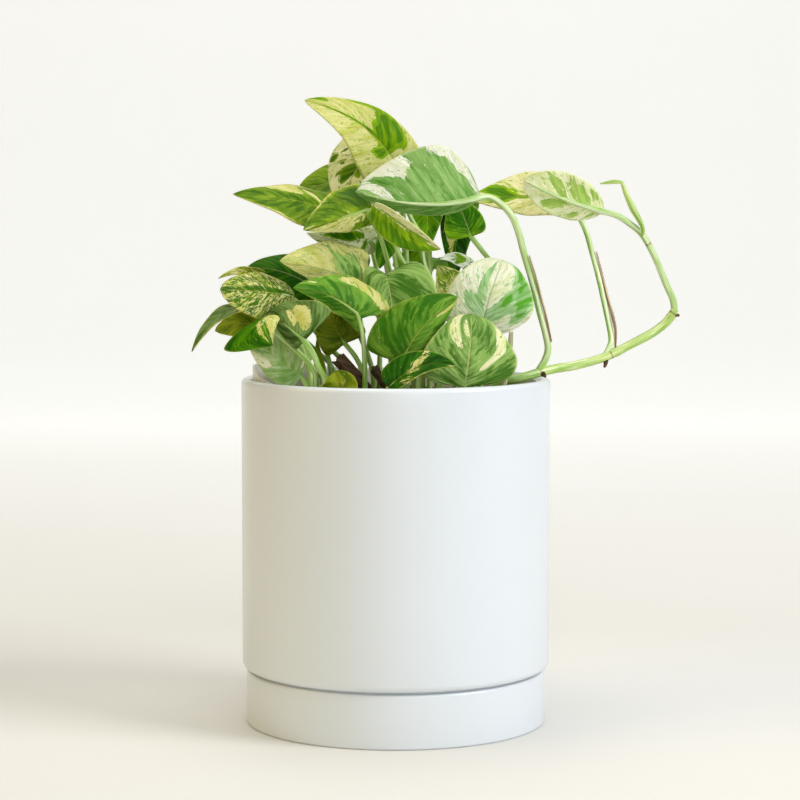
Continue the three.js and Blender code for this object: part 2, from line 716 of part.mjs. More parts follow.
holes.push({ x: 46, y: -33, radius: stubRadius + holeClearance });

// Bark chips lie on the mix: length, width and thickness, where the middle is and how it lies.
const chips = [
  { name: 'bark_chip_leaning', size: [24, 8, 2.6], place: [-17, -29, 153.2], turn: [0.6, 0.85, 0.1] },
  { name: 'bark_chip_flat', size: [17, 7, 2.2], place: [-5, -29, 150.8], turn: [0.5, 0.95, 0.3] },
  { name: 'bark_chip_front', size: [11, 5, 2], place: [12, -51, 143.6], turn: [0, 0.05, 0.2] },
  { name: 'bark_chip_right', size: [9, 5, 2], place: [50, -14, 144], turn: [0.05, 0, 1.2] },
  { name: 'bark_chip_rear', size: [14, 6, 2.4], place: [-24, 40, 145.4], turn: [0, 0.05, -0.6] },
];
for (const chip of chips) {
  const [length, width, thickness] = chip.size;
  const block = new THREE.BoxGeometry(length, width, thickness);
  const corners = block.attributes.position;
  for (let index = 0; index < corners.count; index += 1) {
    if (corners.getX(index) > 0) {
      corners.setY(index, corners.getY(index) * 0.55);
    }
  }
  block.rotateX(chip.turn[0]);
  block.rotateY(chip.turn[1]);
  block.rotateZ(chip.turn[2]);
  block.translate(...chip.place);
  addNode(chip.name, toGeometry(toSolid(block)), barkBrown);
}

// The mix: a low rippled crown with a plain hole for every stalk.
function makeMix({ base, footWidth }) {
  const wide = linerRadius - linerWall - gap;
  const crown = Array.from({ length: 5 }, (_, ring) => {
    const part = 1 - ring / 4;
    return [wide * part, mixTop + mixCrown * (1 - part * part)];
  });
  const profile = [
    [0, base + linerWall + gap],
    [footWidth - linerWall - gap, base + linerWall + gap],
    [wide, linerTop - linerRim],
    ...crown,
  ];
  const geometry = turned(profile, mixSegments);
  const position = geometry.attributes.position;
  for (let index = 0; index < position.count; index += 1) {
    const x = position.getX(index);
    const y = position.getY(index);
    if (position.getZ(index) > mixTop - 0.01) {
      const ripple = mixRipple * Math.sin(x * 0.31) * Math.cos(y * 0.27);
      position.setZ(index, position.getZ(index) + mixTilt * y + ripple);
    }
  }
  let solid = toSolid(geometry);
  for (const hole of holes) {
    const drill = new THREE.CylinderGeometry(hole.radius, hole.radius, rootDepth + 8, 5);
    drill.rotateX(Math.PI / 2);
    drill.translate(hole.x, hole.y, mixTop - rootDepth - gap + (rootDepth + 8) / 2);
    solid = solid.subtract(toSolid(drill));
  }
  addNode('potting_mix', toGeometry(solid), darkMix);
}

makePot();
makeSaucer();
makeMix(makeLiner());

export default plant;
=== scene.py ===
# Variegated pothos in a white glazed cylinder pot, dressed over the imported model.
# Numbers in the shape tables are millimetres, as in the part's source.
import math
import random

import bpy
from mathutils import Matrix, Vector, noise


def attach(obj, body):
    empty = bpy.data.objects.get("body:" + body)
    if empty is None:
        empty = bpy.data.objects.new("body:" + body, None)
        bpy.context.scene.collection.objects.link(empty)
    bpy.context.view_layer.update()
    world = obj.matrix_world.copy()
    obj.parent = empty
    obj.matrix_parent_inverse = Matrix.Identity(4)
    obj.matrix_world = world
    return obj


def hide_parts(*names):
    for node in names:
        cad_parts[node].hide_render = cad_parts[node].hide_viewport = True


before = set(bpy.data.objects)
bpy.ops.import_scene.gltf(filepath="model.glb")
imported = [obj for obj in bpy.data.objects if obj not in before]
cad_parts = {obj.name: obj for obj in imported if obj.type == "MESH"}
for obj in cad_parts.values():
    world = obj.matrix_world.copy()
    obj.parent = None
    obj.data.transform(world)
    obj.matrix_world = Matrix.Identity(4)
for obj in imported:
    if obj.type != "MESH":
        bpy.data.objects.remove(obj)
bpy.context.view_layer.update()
mm = 0.001
mergeDistance = 1e-6
print("frame loaded:", len(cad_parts), "nodes")


# One wrapped socket: arithmetic on it adds Math nodes.
class Wire:
    def __init__(self, node, output=0):
        self.tree = node.id_data
        self.socket = node.outputs[output]

    def math(self, operation, *values):
        return Wire(addNode(self.tree, "Math", {"operation": operation}, dict(enumerate(values))))

    def __add__(self, other):
        return self.math("ADD", self, other)

    def __sub__(self, other):
        return self.math("SUBTRACT", self, other)

    def __rsub__(self, other):
        return self.math("SUBTRACT", other, self)

    def __mul__(self, other):
        return self.math("MULTIPLY", self, other)

    __radd__ = __add__
    __rmul__ = __mul__


# Every other node: its type, its settings, and the values or links of its sockets.
def addNode(tree, kind, settings=None, sockets=None):
    node = tree.nodes.new("ShaderNode" + kind)
    for key, value in (settings or {}).items():
        if key == "stops":
            ramp = node.color_ramp
            while len(ramp.elements) < len(value):
                ramp.elements.new(0.5)
            for element, (place, colour) in zip(ramp.elements, value):
                element.position = place
                element.color = (*colour, 1)
        else:
            setattr(node, key, value)
    for key, value in (sockets or {}).items():
        if isinstance(value, Wire):
            tree.links.new(value.socket, node.inputs[key])
        else:
            node.inputs[key].default_value = value
    return node


def noiseOf(where, scale, detail=2, roughness=0.5, distortion=0):
    return Wire(addNode(where.tree, "TexNoise", None, {
        "Vector": where, "Scale": scale, "Detail": detail, "Roughness": roughness,
        "Distortion": distortion}))


def smooth(value, low, high):
    return Wire(addNode(value.tree, "MapRange", {"interpolation_type": "SMOOTHSTEP"},
                        {"Value": value, "From Min": low, "From Max": high}))


def blend(factor, first, second):
    first, second = (end if isinstance(end, Wire) else (*end, 1) for end in (first, second))
    return Wire(addNode(factor.tree, "Mix", {"data_type": "RGBA"},
                        {0: factor, 6: first, 7: second}), 2)


def stretched(where, x, y, z=1, shift=(0, 0, 0)):
    return Wire(addNode(where.tree, "Mapping", None,
                        {"Vector": where, "Location": shift, "Scale": (x, y, z)}))


def axesOf(where):
    split = addNode(where.tree, "SeparateXYZ", None, {0: where})
    return [Wire(split, axis) for axis in range(3)]


def bumpOf(height, strength, distance):
    return Wire(addNode(height.tree, "Bump", None,
                        {"Strength": strength, "Distance": distance, "Height": height}))


def srgb(text):
    parts = [int(text[i:i + 2], 16) / 255 for i in (0, 2, 4)]
    return tuple(p / 12.92 if p <= 0.04045 else ((p + 0.055) / 1.055) ** 2.4 for p in parts)


def shaderOf(material):
    return material.node_tree.nodes["Principled BSDF"]


# A new material with a Principled shader, and where its patterns are read from.
def newMaterial(name, constants, space="object"):
    material = bpy.data.materials.new(name)
    material.use_nodes = True
    for key, value in constants.items():
        shaderOf(material).inputs[key].default_value = value
    if space == "object":
        return material, Wire(addNode(material.node_tree, "TexCoord"), "Object")
    return material, Wire(addNode(material.node_tree, "UVMap", {"uv_map": space}))


def feed(material, **values):
    names = {"colour": "Base Color", "rough": "Roughness", "glow": "Emission Color", "normal": "Normal"}
    for key, value in values.items():
        value.tree.links.new(value.socket, shaderOf(material).inputs[names[key]])
    return material


def editMode(action=None):
    bpy.ops.object.mode_set(mode="EDIT")
    if action:
        bpy.ops.mesh.select_all(action=action)


def objectMode():
    bpy.ops.object.mode_set(mode="OBJECT")


def pick(*objects):
    bpy.ops.object.select_all(action="DESELECT")
    for item in objects:
        item.select_set(True)
    bpy.context.view_layer.objects.active = objects[0]


def named(name):
    item = bpy.context.active_object
    item.name = name
    return item


def joined(name, *objects):
    pick(*objects)
    bpy.ops.object.join()
    result = named(name)
    result.data.name = name
    return result


def mergeDoubles(item, distance=mergeDistance):
    pick(item)
    editMode("SELECT")
    bpy.ops.mesh.remove_doubles(threshold=distance)
    objectMode()


# Doubles are merged, faces turned outwards and the piece smoothed.
def cleaned(item, smoothAngle=None, distance=mergeDistance):
    mergeDoubles(item, distance)
    editMode("SELECT")
    bpy.ops.mesh.normals_make_consistent(inside=False)
    objectMode()
    if smoothAngle is None:
        bpy.ops.object.shade_smooth()
    else:
        bpy.ops.object.shade_smooth_by_angle(angle=math.radians(smoothAngle))
    return item


def extrude(step):
    bpy.ops.mesh.extrude_region_move(TRANSFORM_OT_translate={"value": step})


# Edges whose two ends both pass the rule are the ones selected.
def selectEdges(item, rule):
    for edge in item.data.edges:
        edge.select = all(rule(item.data.vertices[i].co) for i in edge.vertices)


def finishPiece(item, nodes, slotName, *materials):
    for material in materials:
        item.data.materials.append(material)
    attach(item, "root")
    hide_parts(*nodes)


# A grid added flat, then every corner moved to where the rule puts it.
def shapedGrid(name, across, along, place):
    bpy.ops.mesh.primitive_grid_add(x_subdivisions=across, y_subdivisions=along, size=1)
    item = named(name)
    for vertex in item.data.vertices:
        vertex.co = place(2 * vertex.co.x, vertex.co.y + 0.5)
    return item


# The smooth route of a stem through its points, the same curve as the solid's.
def routeOf(points):
    knots = [Vector(p) * mm for p in points]
    first = knots[0] * 2 - knots[1]
    last = knots[-1] * 2 - knots[-2]
    knots = [first, *knots, last]
    cuts = 12
    route = []
    for index in range(1, len(knots) - 2):
        p = knots[index - 1:index + 3]
        t = [0.0]
        for a, b in zip(p, p[1:]):
            t.append(t[-1] + max((b - a).length, 1e-6) ** 0.5)
        for step in range(cuts):
            x = t[1] + (t[2] - t[1]) * step / cuts
            line = [p[i].lerp(p[i + 1], (x - t[i]) / (t[i + 1] - t[i])) for i in range(3)]
            arc = [line[i].lerp(line[i + 1], (x - t[i]) / (t[i + 2] - t[i])) for i in range(2)]
            route.append(arc[0].lerp(arc[1], (x - t[1]) / (t[2] - t[1])))
    route.append(knots[-2])
    return route


def lengthsOf(route):
    lengths = [0.0]
    for a, b in zip(route, route[1:]):
        lengths.append(lengths[-1] + (b - a).length)
    return lengths


# A round stem along a route. radius(t) gives its size, dent(t, angle) what is taken off round it.
def makeStem(name, points, skin, radius, sides, steps, dent=None, front=None):
    route = routeOf(points)
    lengths = lengthsOf(route)
    frames = []
    side = front
    segment = 0
    for step in range(steps + 1):
        target = lengths[-1] * step / steps
        while segment < len(lengths) - 2 and lengths[segment + 1] < target:
            segment += 1
        part = (target - lengths[segment]) / max(lengths[segment + 1] - lengths[segment], 1e-9)
        centre = route[segment].lerp(route[segment + 1], part)
        ahead = (route[segment + 1] - route[segment]).normalized()
        if side is None:
            side = ahead.orthogonal()
        side = (side - ahead * side.dot(ahead)).normalized()
        frames.append((centre, side, ahead.cross(side)))

    def place(u, v):
        row = round(v * (steps + 2))
        inner = min(max(row - 1, 0), steps)
        centre, right, up = frames[inner]
        if row == 0 or row == steps + 2:
            return centre
        t = inner / steps
        angle = math.pi * u
        size = radius(t) * mm
        if dent:
            size *= 1 - dent(t, angle)
        return centre + right * (size * math.cos(angle)) + up * (size * math.sin(angle))

    # UV metres: across is round the stem, whose girth is taken as 8 mm, and along is its length.
    item = shapedGrid(name, sides, steps + 2, place)
    layer = item.data.uv_layers[0]
    layer.name = "blade"
    for corner in layer.data:
        corner.uv = (corner.uv[0] * 8 * mm, corner.uv[1] * lengths[-1])
    item.data.materials.append(skin)
    return cleaned(item)


# A turned body: a point is extruded along the profile and spun round the axis.
def makeTurned(name, profile, segments):
    bpy.ops.mesh.primitive_plane_add(size=mm)
    item = named(name)
    editMode("SELECT")
    bpy.ops.mesh.merge(type="CENTER")
    here = Vector((0, 0, 0))
    for index, (radius, height) in enumerate(profile):
        step = Vector((radius * mm, 0, height * mm)) - here
        here += step
        if index == 0:
            bpy.ops.transform.translate(value=step)
        else:
            extrude(step)
    bpy.ops.mesh.select_all(action="SELECT")
    bpy.ops.mesh.spin(steps=segments, angle=math.tau, center=(0, 0, 0), axis=(0, 0, 1))
    objectMode()
    return cleaned(item, 40)


def roundCorner(centreRadius, centreHeight, radius, start, end, steps):
    angles = [math.radians(start + (end - start) * step / steps) for step in range(steps + 1)]
    return [(centreRadius + radius * math.cos(angle), centreHeight + radius * math.sin(angle))
            for angle in angles]


# Camera, floor and light come first.
cameraSetup = dict(place=(0.00184, -1.086, 0.229), pitchDown=4.62)
cameraLens = dict(lens=111.96, sensor_width=36, clip_start=0.01, clip_end=100)


def makeCamera():
    tilt = math.radians(90 - cameraSetup["pitchDown"])
    bpy.ops.object.camera_add(location=cameraSetup["place"], rotation=(tilt, 0, 0))
    camera = named("photoCamera")
    for key, value in cameraLens.items():
        setattr(camera.data, key, value)
    bpy.context.scene.camera = camera


# The studio in metres. Each lamp is a square of light: its place, the height on the axis that it
# looks at, its size, watts and colour.
studio = dict(
    floor=((0.73, 0.71, 0.665), (0.76, 0.75, 0.72)), floorHalf=3, wallHeight=3, wallBend=0.8,
    glowReach=6, world=(1, 1, 1), worldStrength=0.145,
    # glow is painted light: the floor and wall glow by this ramp, none at the front and most towards the
    # back and up the wall.
    glow=((0.04, (0, 0, 0)), (0.24, (0.52, 0.53, 0.525)), (0.5, (0.53, 0.54, 0.54)),
          (1, (0.48, 0.49, 0.48))),
)
lamps = dict(
    keyRight=((1.4, -0.7, 1.1), 0.15, 0.8, 23, (0.97, 0.99, 1)),
    fillLeft=((-1.8, -0.7, 0.9), 0.12, 1.3, 11.5, (1, 0.72, 0.1)),
    topSoft=((-0.1, 0.1, 1.5), 0.15, 1.1, 12.5, (1, 1, 0.99)),
    frontSoft=((0.5, -2.2, 0.9), 0.15, 1.4, 15.5, (0.93, 0.98, 1)),
)


# The floor and wall glow as painted light, rising from none at the front to most at the back and up the
# wall.
def floorMaterial():
    material, where = newMaterial("glowingFloorPaper", {"Roughness": 0.8, "Emission Strength": 1})
    away, up = axesOf(where)[1:]
    behind = (away + up * 2) * (1 / studio["glowReach"])
    glow = Wire(addNode(where.tree, "ValToRGB", {"stops": studio["glow"]}, {0: behind}))
    return feed(material, colour=blend(noiseOf(where, 3), *studio["floor"]), glow=glow)


def makeStudio():
    bpy.ops.mesh.primitive_plane_add(size=2 * studio["floorHalf"])
    floor = named("floor")
    editMode("DESELECT")
    objectMode()
    selectEdges(floor, lambda end: end.y > 0)
    editMode()
    extrude((0, 0, studio["wallHeight"]))
    objectMode()
    selectEdges(floor, lambda end: end.y > 0 and end.z < 0.1)
    editMode()
    bpy.ops.mesh.bevel(offset=studio["wallBend"], segments=12)
    objectMode()
    bpy.ops.object.shade_smooth()
    floor.data.materials.append(floorMaterial())

    world = bpy.data.worlds.new("studioWorld")
    world.use_nodes = True
    background = world.node_tree.nodes["Background"].inputs
    background["Color"].default_value = (*studio["world"], 1)
    background["Strength"].default_value = studio["worldStrength"]
    bpy.context.scene.world = world

    for name, (place, aim, size, watts, colour) in lamps.items():
        turn = (Vector((0, 0, aim)) - Vector(place)).to_track_quat("-Z", "Y").to_euler()
        bpy.ops.object.light_add(type="AREA", location=place, rotation=turn)
        light = named(name).data
        light.size = size
        light.energy = watts
        light.color = colour


bpy.context.scene.view_settings.view_transform = "Standard"
makeCamera()
makeStudio()
print("camera and studio ready")


# The glazed pot and saucer, turned finer than the solids and inside their size.
pottery = dict(
    radius=67.5, wall=4.2, top=151.2, shoulder=24.2, floor=6, corner=3, foot=60, footEdge=1,
    footBase=5.3, drain=6, outerRings=(60, 105, 140), innerRings=(130, 60), saucer=65.7,
    saucerTop=23.2, saucerWall=4, saucerFloor=5, saucerEdge=1.1, saucerFoot=8, segments=144,
    glaze=((0.69, 0.725, 0.76), (0.715, 0.75, 0.795)), speck=(0.6, 0.56, 0.5),
)


def glazeMaterial():
    material, where = newMaterial("whiteGlaze", {
        "Coat Roughness": 0.12, "IOR": 1.5, "Coat Weight": 0.35})
    specks = smooth(noiseOf(where, 900, 1), 0.74, 0.8) * 0.25
    base = blend(noiseOf(where, 14, 3), *pottery["glaze"])
    dimples = noiseOf(where, 55, 3) + noiseOf(where, 420) * 0.15
    return feed(material, colour=blend(specks, base, pottery["speck"]),
                rough=noiseOf(where, 60, 3) * 0.16 + 0.24, normal=bumpOf(dimples, 0.12, 0.0006))


def makePottery():
    p = pottery
    lip = p["wall"] / 2
    outer, drain, foot, base, corner = p["radius"], p["drain"], p["foot"], p["footBase"], p["corner"]
    inner = outer - p["wall"]
    bottom = base + p["floor"]
    pot = makeTurned("potBody", [
        (drain, base), (foot - p["footEdge"], base), (foot, base + p["footEdge"]), (foot, p["shoulder"]),
        *roundCorner(outer - corner, p["shoulder"] + corner, corner, -90, 0, 6),
        *((outer, height) for height in p["outerRings"]),
        *roundCorner(outer - lip, p["top"] - lip, lip, 0, 180, 12),
        *((inner, height) for height in p["innerRings"]),
        (inner, bottom), (drain, bottom), (drain, base)], p["segments"])
    edge, top, floor = p["saucerEdge"], p["saucerTop"], p["saucerFloor"]
    rim = p["saucer"] - edge
    inner = p["saucer"] - p["saucerWall"]
    saucer = makeTurned("saucerDish", [
        (0, 0), (rim - p["saucerFoot"], 0), *roundCorner(rim, edge, edge, -90, 0, 4),
        *roundCorner(rim, top - edge, edge, 0, 90, 4), (inner, top), (inner, floor), (0, floor)],
        p["segments"])
    glaze = glazeMaterial()
    finishPiece(pot, ["pot"], "glaze", glaze)
    finishPiece(saucer, ["saucer"], "glaze", glaze)


makePottery()
print("pottery done")


# The clear liner, sprung up over the lip on the left, and the mix inside it.
liner = dict(
    radius=62.6, wall=1, top=149.6, rim=10, band=3, base=11.6, foot=54.6, flare=7, flareFront=0.42,
    flareBack=1.1, segments=144, tints=((0.95, 0.9, 0.76), (1, 0.99, 0.95)),
)
mix = dict(
    radius=61.1, top=141.5, tilt=0.016, crown=1.6, depth=30, segments=96, rings=26, lump=0.9,
    lumps=((0.16, 1), (0.42, 0.5), (1.1, 0.25)), crumbs=420, crumbSize=(0.7, 2.1),
    crumbReach=58.1, crumbRough=0.35, crumbRise=0.15,
    browns=((0.012, 0.009, 0.007), (0.085, 0.055, 0.035)), perlite=(0.3, 0.24, 0.18),
)


def linerMaterial():
    material, where = newMaterial("clearLiner", {
        "IOR": 1.45, "Alpha": 0.62, "Transmission Weight": 0.25})
    haze = noiseOf(where, 30, 3)
    ripple = noiseOf(stretched(where, 120, 120, 25), 1)
    return feed(material, colour=blend(haze, *liner["tints"]), rough=haze * 0.2 + 0.25,
                normal=bumpOf(ripple, 0.25, 0.0008))


def makeLiner():
    s = liner
    outer, top, base, foot, wall = s["radius"], s["top"], s["base"], s["foot"], s["wall"]
    inner = outer - wall
    rings = (top - s["rim"], top - s["band"], top)
    item = makeTurned("linerCup", [
        (0, base), (foot, base), *((outer, height) for height in rings),
        *((inner, height) for height in reversed(rings)),
        (foot - wall, base + wall), (0, base + wall)], s["segments"])
    for vertex in item.data.vertices:
        if vertex.co.z > (top - wall) * mm:
            away = math.atan2(vertex.co.y, vertex.co.x)
            away = math.atan2(math.sin(away - math.pi), math.cos(away - math.pi))
            spread = s["flareBack"] if away < 0 else s["flareFront"]
            vertex.co.z += s["flare"] * mm * math.exp(-(away / spread) ** 2)
    finishPiece(item, ["liner"], "liner", linerMaterial())


def mixHeight(x, y):
    part = min(math.hypot(x, y) / mix["radius"], 1)
    point = Vector((x, y, 3.0))
    lumps = sum(amount * noise.noise(point * scale) for scale, amount in mix["lumps"])
    return (mix["top"] + mix["crown"] * (1 - part * part) + mix["tilt"] * y
            + mix["lump"] * lumps * (1 - part ** 6))


def mixMaterial():
    material, where = newMaterial("darkMix", {"Specular IOR Level": 0.25})
    grain = noiseOf(where, 260, 6, 0.7)
    pale = smooth(noiseOf(where, 420), 0.66, 0.74) * 0.5
    brown = blend(smooth(grain, 0.35, 0.7), *mix["browns"])
    return feed(material, colour=blend(pale, brown, mix["perlite"]), rough=grain * 0.2 + 0.75,
                normal=bumpOf(grain, 0.9, 0.0015))


def makeCrumbs():
    draw = random.Random(11)
    bpy.ops.mesh.primitive_ico_sphere_add(subdivisions=2, radius=1)
    grain = named("seedCrumb")
    for vertex in grain.data.vertices:
        vertex.co *= 1 + mix["crumbRough"] * noise.noise(vertex.co * 1.7)
    crumbs = []
    for _ in range(mix["crumbs"]):
        angle = draw.uniform(0, math.tau)
        radius = mix["crumbReach"] * math.sqrt(draw.random())
        size = draw.uniform(*mix["crumbSize"]) * draw.uniform(0.5, 1)
        x, y = radius * math.cos(angle), radius * math.sin(angle)
        crumb = grain.copy()
        crumb.data = grain.data.copy()
        turn = Matrix.Rotation(draw.uniform(0, 6.28), 4, (draw.random(), draw.random(), 1))
        shape = Matrix.Diagonal((size, size * draw.uniform(0.5, 1), size * draw.uniform(0.4, 0.8), 1))
        centre = Matrix.Translation((x, y, mixHeight(x, y) + size * mix["crumbRise"]))
        crumb.data.transform(Matrix.Scale(mm, 4) @ centre @ turn @ shape)
        bpy.context.collection.objects.link(crumb)
        crumbs.append(crumb)
    bpy.data.objects.remove(grain)
    heap = joined("mixCrumbs", *crumbs)
    bpy.ops.object.shade_smooth()
    return heap


def makeMix():
    def place(u, v):
        radius = mix["radius"] * v
        x, y = radius * math.cos(math.pi * u), radius * math.sin(math.pi * u)
        return Vector((x, y, mixHeight(x, y))) * mm

    top = shapedGrid("mixTop", mix["segments"], mix["rings"], place)
    mergeDoubles(top)
    reach = (mix["radius"] - 0.2) * mm
    selectEdges(top, lambda end: math.hypot(end.x, end.y) > reach)
    editMode()
    bpy.ops.mesh.select_mode(type="EDGE")
    extrude((0, 0, -mix["depth"] * mm))
    bpy.ops.mesh.edge_face_add()
    objectMode()
    cleaned(top, 60)
    heap = makeCrumbs()
    material = mixMaterial()
    finishPiece(top, ["potting_mix"], "mix", material)
    finishPiece(heap, ["potting_mix"], "mix", material)


makeLiner()
makeMix()
print("liner and mix done")


# Bark chips: a block cut finer, tapered to one end and roughened, where each solid lies. Each
# has its size, its place and its turn about X, Y and Z.
chips = dict(
    leaning=((24, 8, 2.6), (-17, -29, 153.2), (0.6, 0.85, 0.1)),
    flat=((17, 7, 2.2), (-5, -29, 150.8), (0.5, 0.95, 0.3)),
    front=((11, 5, 2), (12, -51, 143.6), (0, 0.05, 0.2)),
    right=((9, 5, 2), (50, -14, 144), (0.05, 0, 1.2)),
    rear=((14, 6, 2.4), (-24, 40, 145.4), (0, 0.05, -0.6)),
)
chipWear = dict(size=0.93, coarse=0.12, fine=0.06, scale=0.55, taper=0.9,
                browns=((0.018, 0.009, 0.005), (0.15, 0.075, 0.035)))


def barkMaterial():
    material, where = newMaterial("barkAndHusk", {"Specular IOR Level": 0.3})
    fibre = noiseOf(stretched(where, 180, 420, 420), 1, 5, 0.65)
    return feed(material, colour=blend(smooth(fibre, 0.3, 0.72), *chipWear["browns"]),
                rough=fibre * 0.25 + 0.62, normal=bumpOf(fibre, 0.8, 0.001))


bark = barkMaterial()


def makeChip(name, size, place, turn):
    w = chipWear
    bpy.ops.mesh.primitive_cube_add(size=1)
    item = named(name)
    editMode("SELECT")
    bpy.ops.mesh.subdivide(number_cuts=9)
    objectMode()
    turns = [Matrix.Rotation(angle, 4, axis) for angle, axis in zip(turn, "XYZ")]
    for vertex in item.data.vertices:
        x, y, z = vertex.co
        if x > 0:
            y *= 1 - w["taper"] * x
        worn = Vector((x, y, z)) * Vector(size)
        seed = worn * w["scale"] + Vector(place)
        vertex.co = worn * (w["size"] + w["coarse"] * noise.noise(seed) + w["fine"] * noise.noise(seed * 3))
    item.data.transform(Matrix.Scale(mm, 4) @ Matrix.Translation(place) @ turns[2] @ turns[1] @ turns[0])
    finishPiece(cleaned(item, 35), [name], "bark", bark)


for name, chip in chips.items():
    makeChip("bark_chip_" + name, *chip)
print("bark chips done")


usualLeaf = dict(fold=(0.15, 0.15), cup=(-0.25, -0.25), wave=0.6, lobe=0.16, taper=0.7, fullness=0.8,
                 sweep=(0, 0), stalk=1.2, rooted=True)


# A leaf's base, middle and tip, the way its face looks, how wide it is on each side of its rib,
# the points of its stalk, and what differs from a usual leaf. The solids have the same numbers.
def leafOf(base, mid, tip, face, width, petiole, **more):
    return {**usualLeaf, "base": Vector(base), "mid": Vector(mid), "tip": Vector(tip),
            "face": Vector(face), "width": width, "petiole": petiole, **more}


